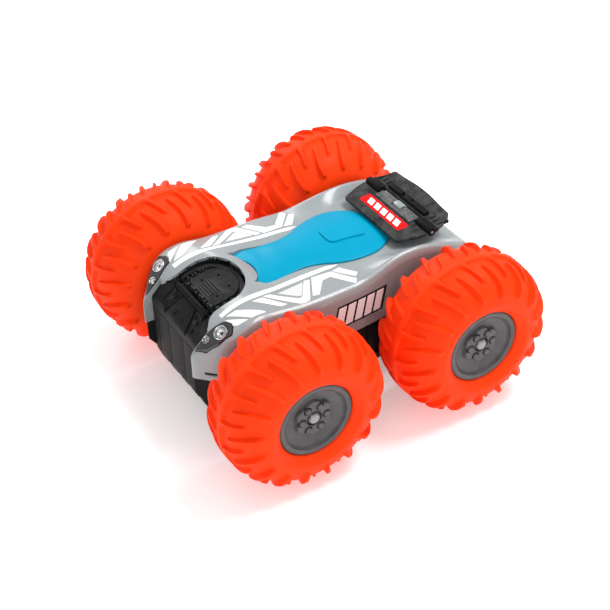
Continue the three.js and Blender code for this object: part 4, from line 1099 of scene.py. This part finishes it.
def add_engine_cover():
    """A tray in the bonnet bay: a raised plate with ribs and screw holes, and fins round it."""
    thick, edge = ENGINE.thickness, rounded(both_halves(ENGINE_EDGE), 4)
    tray = layer("engine_cover_look", ENGINE_LINE, -thick, thick, edge, LOOKS["tray"])
    inner = rounded(both_halves([(x + 2.2, max(y - 2.4, 0)) for x, y in ENGINE_EDGE]), 4)
    cut(tray, layer("trough", ENGINE_LINE, -ENGINE.trough, 9, inner))
    plate = layer("plate", ENGINE_LINE, 0.4 - thick, thick - 0.4 + ENGINE.plate_lift,
                  rounded(both_halves(ENGINE_PLATE), 3))
    bevelled(plate, 0.35, 2, 40)
    radius = ENGINE.hole_radius
    cut(plate, *[rod("hole", radius, (engine_height(x) - 0.6, 99), (x, side * y), 12, "z")
                 for x, y in ENGINE_HOLES for _, side in SIDES])
    add(tray, plate)
    add(tray, merged(*engine_ribs(), *engine_fins(), *engine_teeth()))
    piece(smooth(tray, 30), "chassis", "black_plastic", "engine_cover")


def add_nose_bar():
    """A round bar with a ball at each end, slotted like a screw."""
    x, z, ball, middle = NOSE_BAR.x, NOSE_BAR.z, NOSE_BAR.ball, NOSE_BAR.ball_y
    turns = np.linspace(0, math.pi * 0.77, 12)
    half = [(max(ball * math.sin(a), 0.02), middle + (ball - 0.6) * math.cos(a)) for a in turns]
    half.append((NOSE_BAR.radius, middle - 4))
    profile = half + [(radius, -y) for radius, y in half[::-1]]
    bar = moved(turned("nose_bar_look", profile, 40, LOOKS["black"]), x, 0, z)
    wide, floor = NOSE_BAR.slot_half, z + NOSE_BAR.slot_floor
    slots = [block("slot", (x - wide, side * middle - 4, floor), (x + wide, side * middle + 4, z + 5))
             for _, side in SIDES]
    piece(smooth(cut(bar, *slots), 35), "chassis", "black_plastic", "nose_bar")


def aimed(obj, at):
    """Turns an object made about Z so that it points along the lamps' aim, and puts it at a place."""
    turn = Vector((0, 0, 1)).rotation_difference(LAMP_AIM).to_matrix().to_4x4()
    obj.data.transform(Matrix.Translation(at * MM) @ turn)
    return obj


def lamp(name, at, radius):
    """A chrome lamp: an outer ring, a reflector and an inner ring, with a gloss black insert at its
    middle that is painted shade for the dark hole there.
    """
    r = radius
    profile = [
        (0.02, -3), (r, -3), (r, 0.8), (r * 0.97, 1.0), (r * 0.91, 1.05), (r * 0.87, 0.9),
        (r * 0.84, -0.6), (r * 0.74, -1.3), (r * 0.6, -1.5), (r * 0.56, 0.1), (r * 0.52, 0.3),
        (r * 0.44, 0.3), (r * 0.38, 0.0), (r * 0.26, -0.5), (0.02, -0.6),
    ]
    body = aimed(turned(f"{name}_look", profile, 64, LOOKS["chrome"], "z"), at)
    # The gloss black insert is painted shade: a dark part where the lamp's middle is only a shaded
    # hole.
    hole_shade = [(0.02, -1), (r * 0.17, -1), (r * 0.17, -0.3), (r * 0.1, -0.1), (0.02, -0.05)]
    dark = aimed(turned(f"{name}_bulb_look", hole_shade, 32, LOOKS["gloss_black"], "z"), at)
    return body, dark


def add_lamps():
    pod = body_solid("lamp_pod_left_look", POD.proud, 50, LOOKS["gloss_black"])
    cut(pod, body_solid("under", -WALL, 40))
    common(pod, prism("plan", pod_outline(0), (POD.bottom, 110)))
    for _, at, radius in LAMPS:
        cut(pod, aimed(rod("lamp_hole", radius + GAP, (-9, 9), sides=64, axis="z"), at))
    bevelled(pod, 0.3, 2, 45)
    other = mirrored(pod, "lamp_pod_right_look")
    for (side, _), obj in zip(SIDES, (pod, other)):
        piece(smooth(obj, 40), "chassis", "black_plastic", f"lamp_pod_{side}")
    for name, at, radius in LAMPS:
        parts = [smooth(part, 40) for part in lamp(f"{name}_left", at, radius)]
        names = (f"{name}_right_look", f"{name}_right_bulb_look")
        others = [smooth(mirrored(part, new), 40) for part, new in zip(parts, names)]
        for side, (body, hole_shade) in (("left", parts), ("right", others)):
            piece(body, "chassis", "lamp_chrome", f"{name}_{side}")
            # The black insert is painted shade for the hole in the lamp's middle.
            piece(hole_shade, "chassis", "black_plastic")


# ---- Wing ----

def wing_line(start, stop):
    """The underside of the wing between two places along the car."""
    return [(x, WING.front_z + WING.slope * (WING.front_x - x)) for x in (start, stop)]


def label_bars():
    """Slanted bars in place of lettering on the wing's label."""
    front, rear = LABEL.front - LABEL.margin, LABEL.rear + LABEL.margin
    width, lean = LABEL.bar_width, LABEL.bar_lean
    return [[(front, y), (front, y + width), (rear, y + width - lean), (rear, y - lean)]
            for y in LABEL.bar_first + LABEL.bar_step * np.arange(LABEL.bars)]


def rectangle(front, rear, half):
    return [(front, -half), (front, half), (rear, half), (rear, -half)]


def add_wing_plate():
    """The fixed front plate on its two feet, with a slot for the hinge and a floor in the slot."""
    line = wing_line(WING.front_x + 1, HINGE.x)
    edge = rounded(both_halves(WING_EDGE), WING.plate_bend)
    plate = layer("wing_plate_look", line, 0, WING.thickness, edge, LOOKS["worn_black"])
    half = WING_SLOT.half_width
    cut(plate, block("slot", (-75, -half, 80), (WING_SLOT.front, half, BEYOND)))
    bevelled(plate, 0.5, 3, 40)
    add(plate, *[rod("foot", WING_FOOT.radius, (WING_FOOT.foot, WING_FOOT.head),
                     (WING_FOOT.x, side * WING_FOOT.y), 32, "z") for _, side in SIDES])
    piece(smooth(plate), "chassis", "black_plastic", "wing_plate")

    floor_edge = rectangle(WING_SLOT.front - 0.3, WING_SLOT.rear, half - 0.5)
    floor = layer("wing_slot_floor_look", line, WING_SLOT.floor_lift, WING_SLOT.floor_thickness,
                  floor_edge, LOOKS["worn_grey"])
    reach = KNUCKLE.half_width + 0.6
    cut(floor, block("gap", (-74, -reach, 80), (HINGE.x + 3.8, reach, 100)))
    piece(bevelled(floor, 0.2), "chassis", "black_plastic")


def add_wing_label():
    line = wing_line(WING.front_x + 1, HINGE.x)
    foot = WING.thickness - 0.2
    edge = rounded(rectangle(LABEL.front, LABEL.rear, LABEL.half), 1.6)
    base = layer("label_look", line, foot, 0.32, edge, LOOKS["red"])
    piece(base, "chassis", "label_red")
    bars = [prism("bar", outline, (80, 110)) for outline in label_bars()]
    full = rectangle(LABEL.front + 1, LABEL.rear - 1, LABEL.half + 3)
    print_layer = layer("label_bars_look", line, foot, 0.42, full, LOOKS["white"])
    piece(common(print_layer, merged(*bars)), "chassis", "livery_white")


def add_wing_flap():
    """The flap with its raised tail, the spine across its front edge and its hinge barrels."""
    (x0, z0), (x1, z1) = wing_line(HINGE.x, -92)
    line = np.array([(x, z0 + (z1 - z0) * (x - x0) / (x1 - x0)) for x in FLAP_RISE[:, 0]])
    low, high = line.copy(), line.copy()
    low[:, 1] += FLAP_RISE[:, 1]
    high[:, 1] += FLAP_RISE[:, 2]
    flap = prism("wing_flap_look", np.concatenate([low, high[::-1]]), (-40, 40), "y",
                 LOOKS["worn_black"])
    edge = rounded(both_halves(FLAP_EDGE), WING.flap_bend)
    bevelled(common(flap, prism("plan", edge, (80, BEYOND))), 0.45, 3, 40)
    piece(smooth(cut(flap, pin_bore()), 35), "wing_flap", "black_plastic", "wing_flap")
    # The spine and the barrels take the spine's darker black_plastic look rather than the flap's
    # worn_black: painted shade, as they are one moulding with the flap.
    hinge = merged(flap_spine(), *flap_barrels())
    hinge.name = "wing_hinge_look"
    piece(smooth(hinge, 35), "wing_flap", "black_plastic", "wing_flap")


def flap_spine():
    """The raised bar across the flap's front edge, with two notches."""
    rear, front, half = FLAP_SPINE.rear, FLAP_SPINE.front, FLAP_SPINE.half_width
    foot, top = FLAP_SPINE.foot, FLAP_SPINE.top
    section = [(rear, foot), (front, foot), (front, top - 0.5), (rear + 0.4, top)]
    # The darker black look is painted shade on the spine's top face; the spine is one moulding with
    # the flap.
    spine = prism("spine", rounded(section, 0.7), (-half, half), "y", LOOKS["black"])
    cut(spine, *[block("notch", (rear + inset, y0, top - depth), (front - inset, y1, top + 2))
                 for y0, y1, inset, depth in SPINE_NOTCHES])
    return bevelled(spine, 0.2, 2, 40)


def flap_barrels():
    """The hinge barrels, the webs that carry them and the ribs behind them."""
    web, ribs = BARREL_WEB, BARREL_RIBS
    parts = []
    for _, side in SIDES:
        span = beside(side, BARREL.inner, BARREL.outer)
        barrel = rod("barrel", BARREL.radius, span, (HINGE.x, HINGE.z), 48)
        parts.append(cut(bevelled(barrel, 0.5, 3, 50), pin_bore()))
        middle = sum(span) / 2
        parts.append(bevelled(block("web", (web.rear, middle - web.half, web.low),
                                    (HINGE.x - web.gap, middle + web.half, web.high)), 0.2))
        for y in middle + np.array(ribs.places):
            parts.append(bevelled(block("rib", (ribs.rear, y - ribs.half, ribs.low),
                                        (ribs.front, y + ribs.half, ribs.high)), 0.2))
    return parts


# ---- Tail and underside ----

def add_tail():
    """The tail panel with a rounded edge and a grille of slots."""
    grille, half = TAIL_GRILLE, TAIL_HALF_WIDTH
    panel = prism("tail_panel_look", rounded(TAIL_SECTION, 1.2), (-half, half), "y",
                  LOOKS["black"])
    bevelled(panel, 0.6, 3, 50)
    slots = []
    for z in grille.foot + grille.row_step * np.arange(grille.rows):
        for y in grille.column_step * (np.arange(grille.columns) - grille.columns // 2):
            slots.append(block("slot", (grille.rear, y - grille.half, z),
                               (grille.front, y + grille.half, z + grille.high)))
    piece(smooth(cut(panel, *slots)), "chassis", "black_plastic", "tail_panel")


def chassis_ribs():
    """Ribs along the underside and down both side walls of the chassis."""
    floor, wall, rail = FLOOR_RIBS, WALL_RIBS, WALL_RAIL
    low, high = CHASSIS_FLOOR - floor.proud, CHASSIS_FLOOR + floor.sunk
    ribs = []
    for _, side in SIDES:
        for y in floor.places:
            ribs += [block("rib", (start, side * y - floor.half, low),
                           (stop, side * y + floor.half, high)) for start, stop in floor.spans]
        lo, hi = beside(side, WALL_ROOT, wall.outer)
        ribs += [block("rib", (x - wall.half, lo, wall.low), (x + wall.half, hi, wall.high))
                 for x in wall.places]
        lo, hi = beside(side, WALL_ROOT, rail.outer)
        ribs.append(block("rail", (-rail.half_length, lo, rail.low),
                          (rail.half_length, hi, rail.high)))
    return ribs


def add_chassis_details():
    details = merged(*chassis_ribs())
    details.name = "chassis_ribs_look"
    details.data.materials.append(LOOKS["black"])
    piece(bevelled(details, 0.25), "chassis", "black_plastic")


def grooves(row, face):
    """Cutters for a row of shallow grooves across an underside at the height of face."""
    return [block("groove", (x, -row.half, 0), (x + row.wide, row.half, face + row.depth))
            for x in row.first + row.step * np.arange(row.count)]


def add_battery_door():
    lo, hi = box_of("battery_door")
    door = block("battery_door_look", lo, (DOOR.to, hi.y, DOOR.top), LOOKS["black"])
    cut(door, *grooves(DOOR_GRIPS, lo.z), *grooves(DOOR_GROOVES, lo.z))
    bevelled(door, 0.3, 2, 40)
    rear, half, top = TONGUE.rear, TONGUE.half, TONGUE.top
    add(door, block("tongue", (rear, -half, DOOR.top - 1), (TONGUE.wall_to, half, top)),
        block("tongue", (rear, -half, TONGUE.foot), (TONGUE.front, half, top)))
    piece(smooth(door, 20), "battery_door", "black_plastic", "battery_door")


def add_power_switch():
    lo, hi = box_of("power_switch")
    knob = block("power_switch_look", (SWITCH.rear, -SWITCH.half, lo.z),
                 (SWITCH.front, SWITCH.half, hi.z - SWITCH.cap), LOOKS["black"])
    bevelled(cut(knob, *grooves(SWITCH_RIDGES, lo.z)), 0.25, 2, 40)
    guide = block("guide", (lo.x, lo.y, SWITCH.guide_foot), hi)
    piece(smooth(add(knob, guide)), "power_switch", "black_plastic", "power_switch")


def add_screws():
    """Pan-head screws with a cross recess."""
    reach, half, depth = SCREW.recess_reach, SCREW.recess_half, SCREW.recess_depth
    for at in range(1, SCREWS + 1):
        node = f"chassis_screw_{at}"
        lo, hi = box_of(node)
        middle, length, radius = (lo + hi) / 2, hi.z - lo.z, (hi.x - lo.x) / 2
        profile = [(0.02, 0.1), *[(radius * part, z) for part, z in SCREW_HEAD],
                   (SCREW.shank, SCREW.neck), (SCREW.shank, length - SCREW.tip), (0.02, length)]
        screw = turned(f"{node}_look", profile, 48, LOOKS["steel"], "z")
        cut(screw, *[block("cross", (-x, -y, -1), (x, y, depth))
                     for x, y in ((reach, half), (half, reach))])
        moved(screw, middle.x, middle.y, lo.z)
        piece(smooth(screw), "chassis", "steel", node)


# ---- Camera, floor and light ----

CAMERA = Sizes(
    place=Vector((381.2, 635.6, 626.7)), lens=86.55, roll=math.radians(-1.69),
    shift=(-0.0049, -0.0029),
)
CAMERA_BACK = Vector((0.4038, 0.6746, 0.6180))
# Area lights: place and size in metres, and power.
LIGHTS = [
    ("key", (-0.5, 0.15, 1.1), (0.5, 0.4), 10),
    ("rim", (-0.1, -0.9, 0.6), (0.5, 0.4), 3.5),
    ("side", (0.7, 0.8, 0.5), (0.7, 0.5), 2),
]
WORLD_LIGHT = 0.72


def add_camera():
    data = bpy.data.cameras.new("camera")
    data.sensor_width = 36
    data.lens = CAMERA.lens
    data.clip_start = 0.01
    data.shift_x, data.shift_y = CAMERA.shift
    camera = scene_object("camera", data)
    back = CAMERA_BACK.normalized()
    right = Vector((0, 0, 1)).cross(back).normalized()
    up = back.cross(right)
    cosine, sine = math.cos(CAMERA.roll), math.sin(CAMERA.roll)
    axes = [cosine * right + sine * up, cosine * up - sine * right, back]
    turn = Matrix([[axis[row] for axis in axes] for row in range(3)])
    camera.matrix_world = Matrix.Translation(CAMERA.place * MM) @ turn.to_4x4()
    bpy.context.scene.camera = camera


def add_floor():
    floor = block("floor", (-3000, -3000, -5), (3000, 3000, 0))
    material = bpy.data.materials.new("floor_white")
    material.use_nodes = True
    put(material.node_tree.nodes["Principled BSDF"], Base_Color=(0.93, 0.93, 0.93, 1),
        Roughness=0.8, Specular_IOR_Level=0.1, Emission_Color=(1, 1, 1, 1),
        Emission_Strength=0.3)
    floor.data.materials.append(material)
    floor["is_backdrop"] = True


def add_light(name, place, size, power):
    data = bpy.data.lights.new(name, "AREA")
    data.shape = "RECTANGLE"
    data.size, data.size_y = size
    data.energy = power
    light = scene_object(name, data)
    light.location = place
    light.rotation_euler = (-Vector(place)).to_track_quat("-Z", "Y").to_euler()


def add_lights():
    world = bpy.data.worlds.new("studio")
    world.use_nodes = True
    put(world.node_tree.nodes["Background"], Color=(1, 1, 1, 1), Strength=WORLD_LIGHT)
    bpy.context.scene.world = world
    bpy.context.scene.view_settings.view_transform = "Standard"
    for light in LIGHTS:
        add_light(*light)


# ---- Assembly ----

add_camera()
add_floor()
add_lights()
add_tyres()
add_rims()
add_shell()
add_canopy()
add_livery()
add_side_panels()
add_nose_panel()
add_engine_cover()
add_nose_bar()
add_lamps()
add_wing_plate()
add_wing_label()
add_wing_flap()
add_tail()
add_chassis_details()
add_battery_door()
add_power_switch()
add_screws()

paint_cad("black", "chassis", "gearbox", "axle_bush")
paint_cad("steel", "axle_front", "axle_rear", "motor_left", "motor_right", "wing_hinge_pin")
paint_cad("gear", "motor_pinion", "compound", "idler", "axle_gear")
paint_cad("cells", "battery_pack")
paint_cad("board", "circuit_board")

boxes = {name: [list(corner) for corner in box]
         for name, box in (("cad", CAD_BOX), ("visual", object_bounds()))}
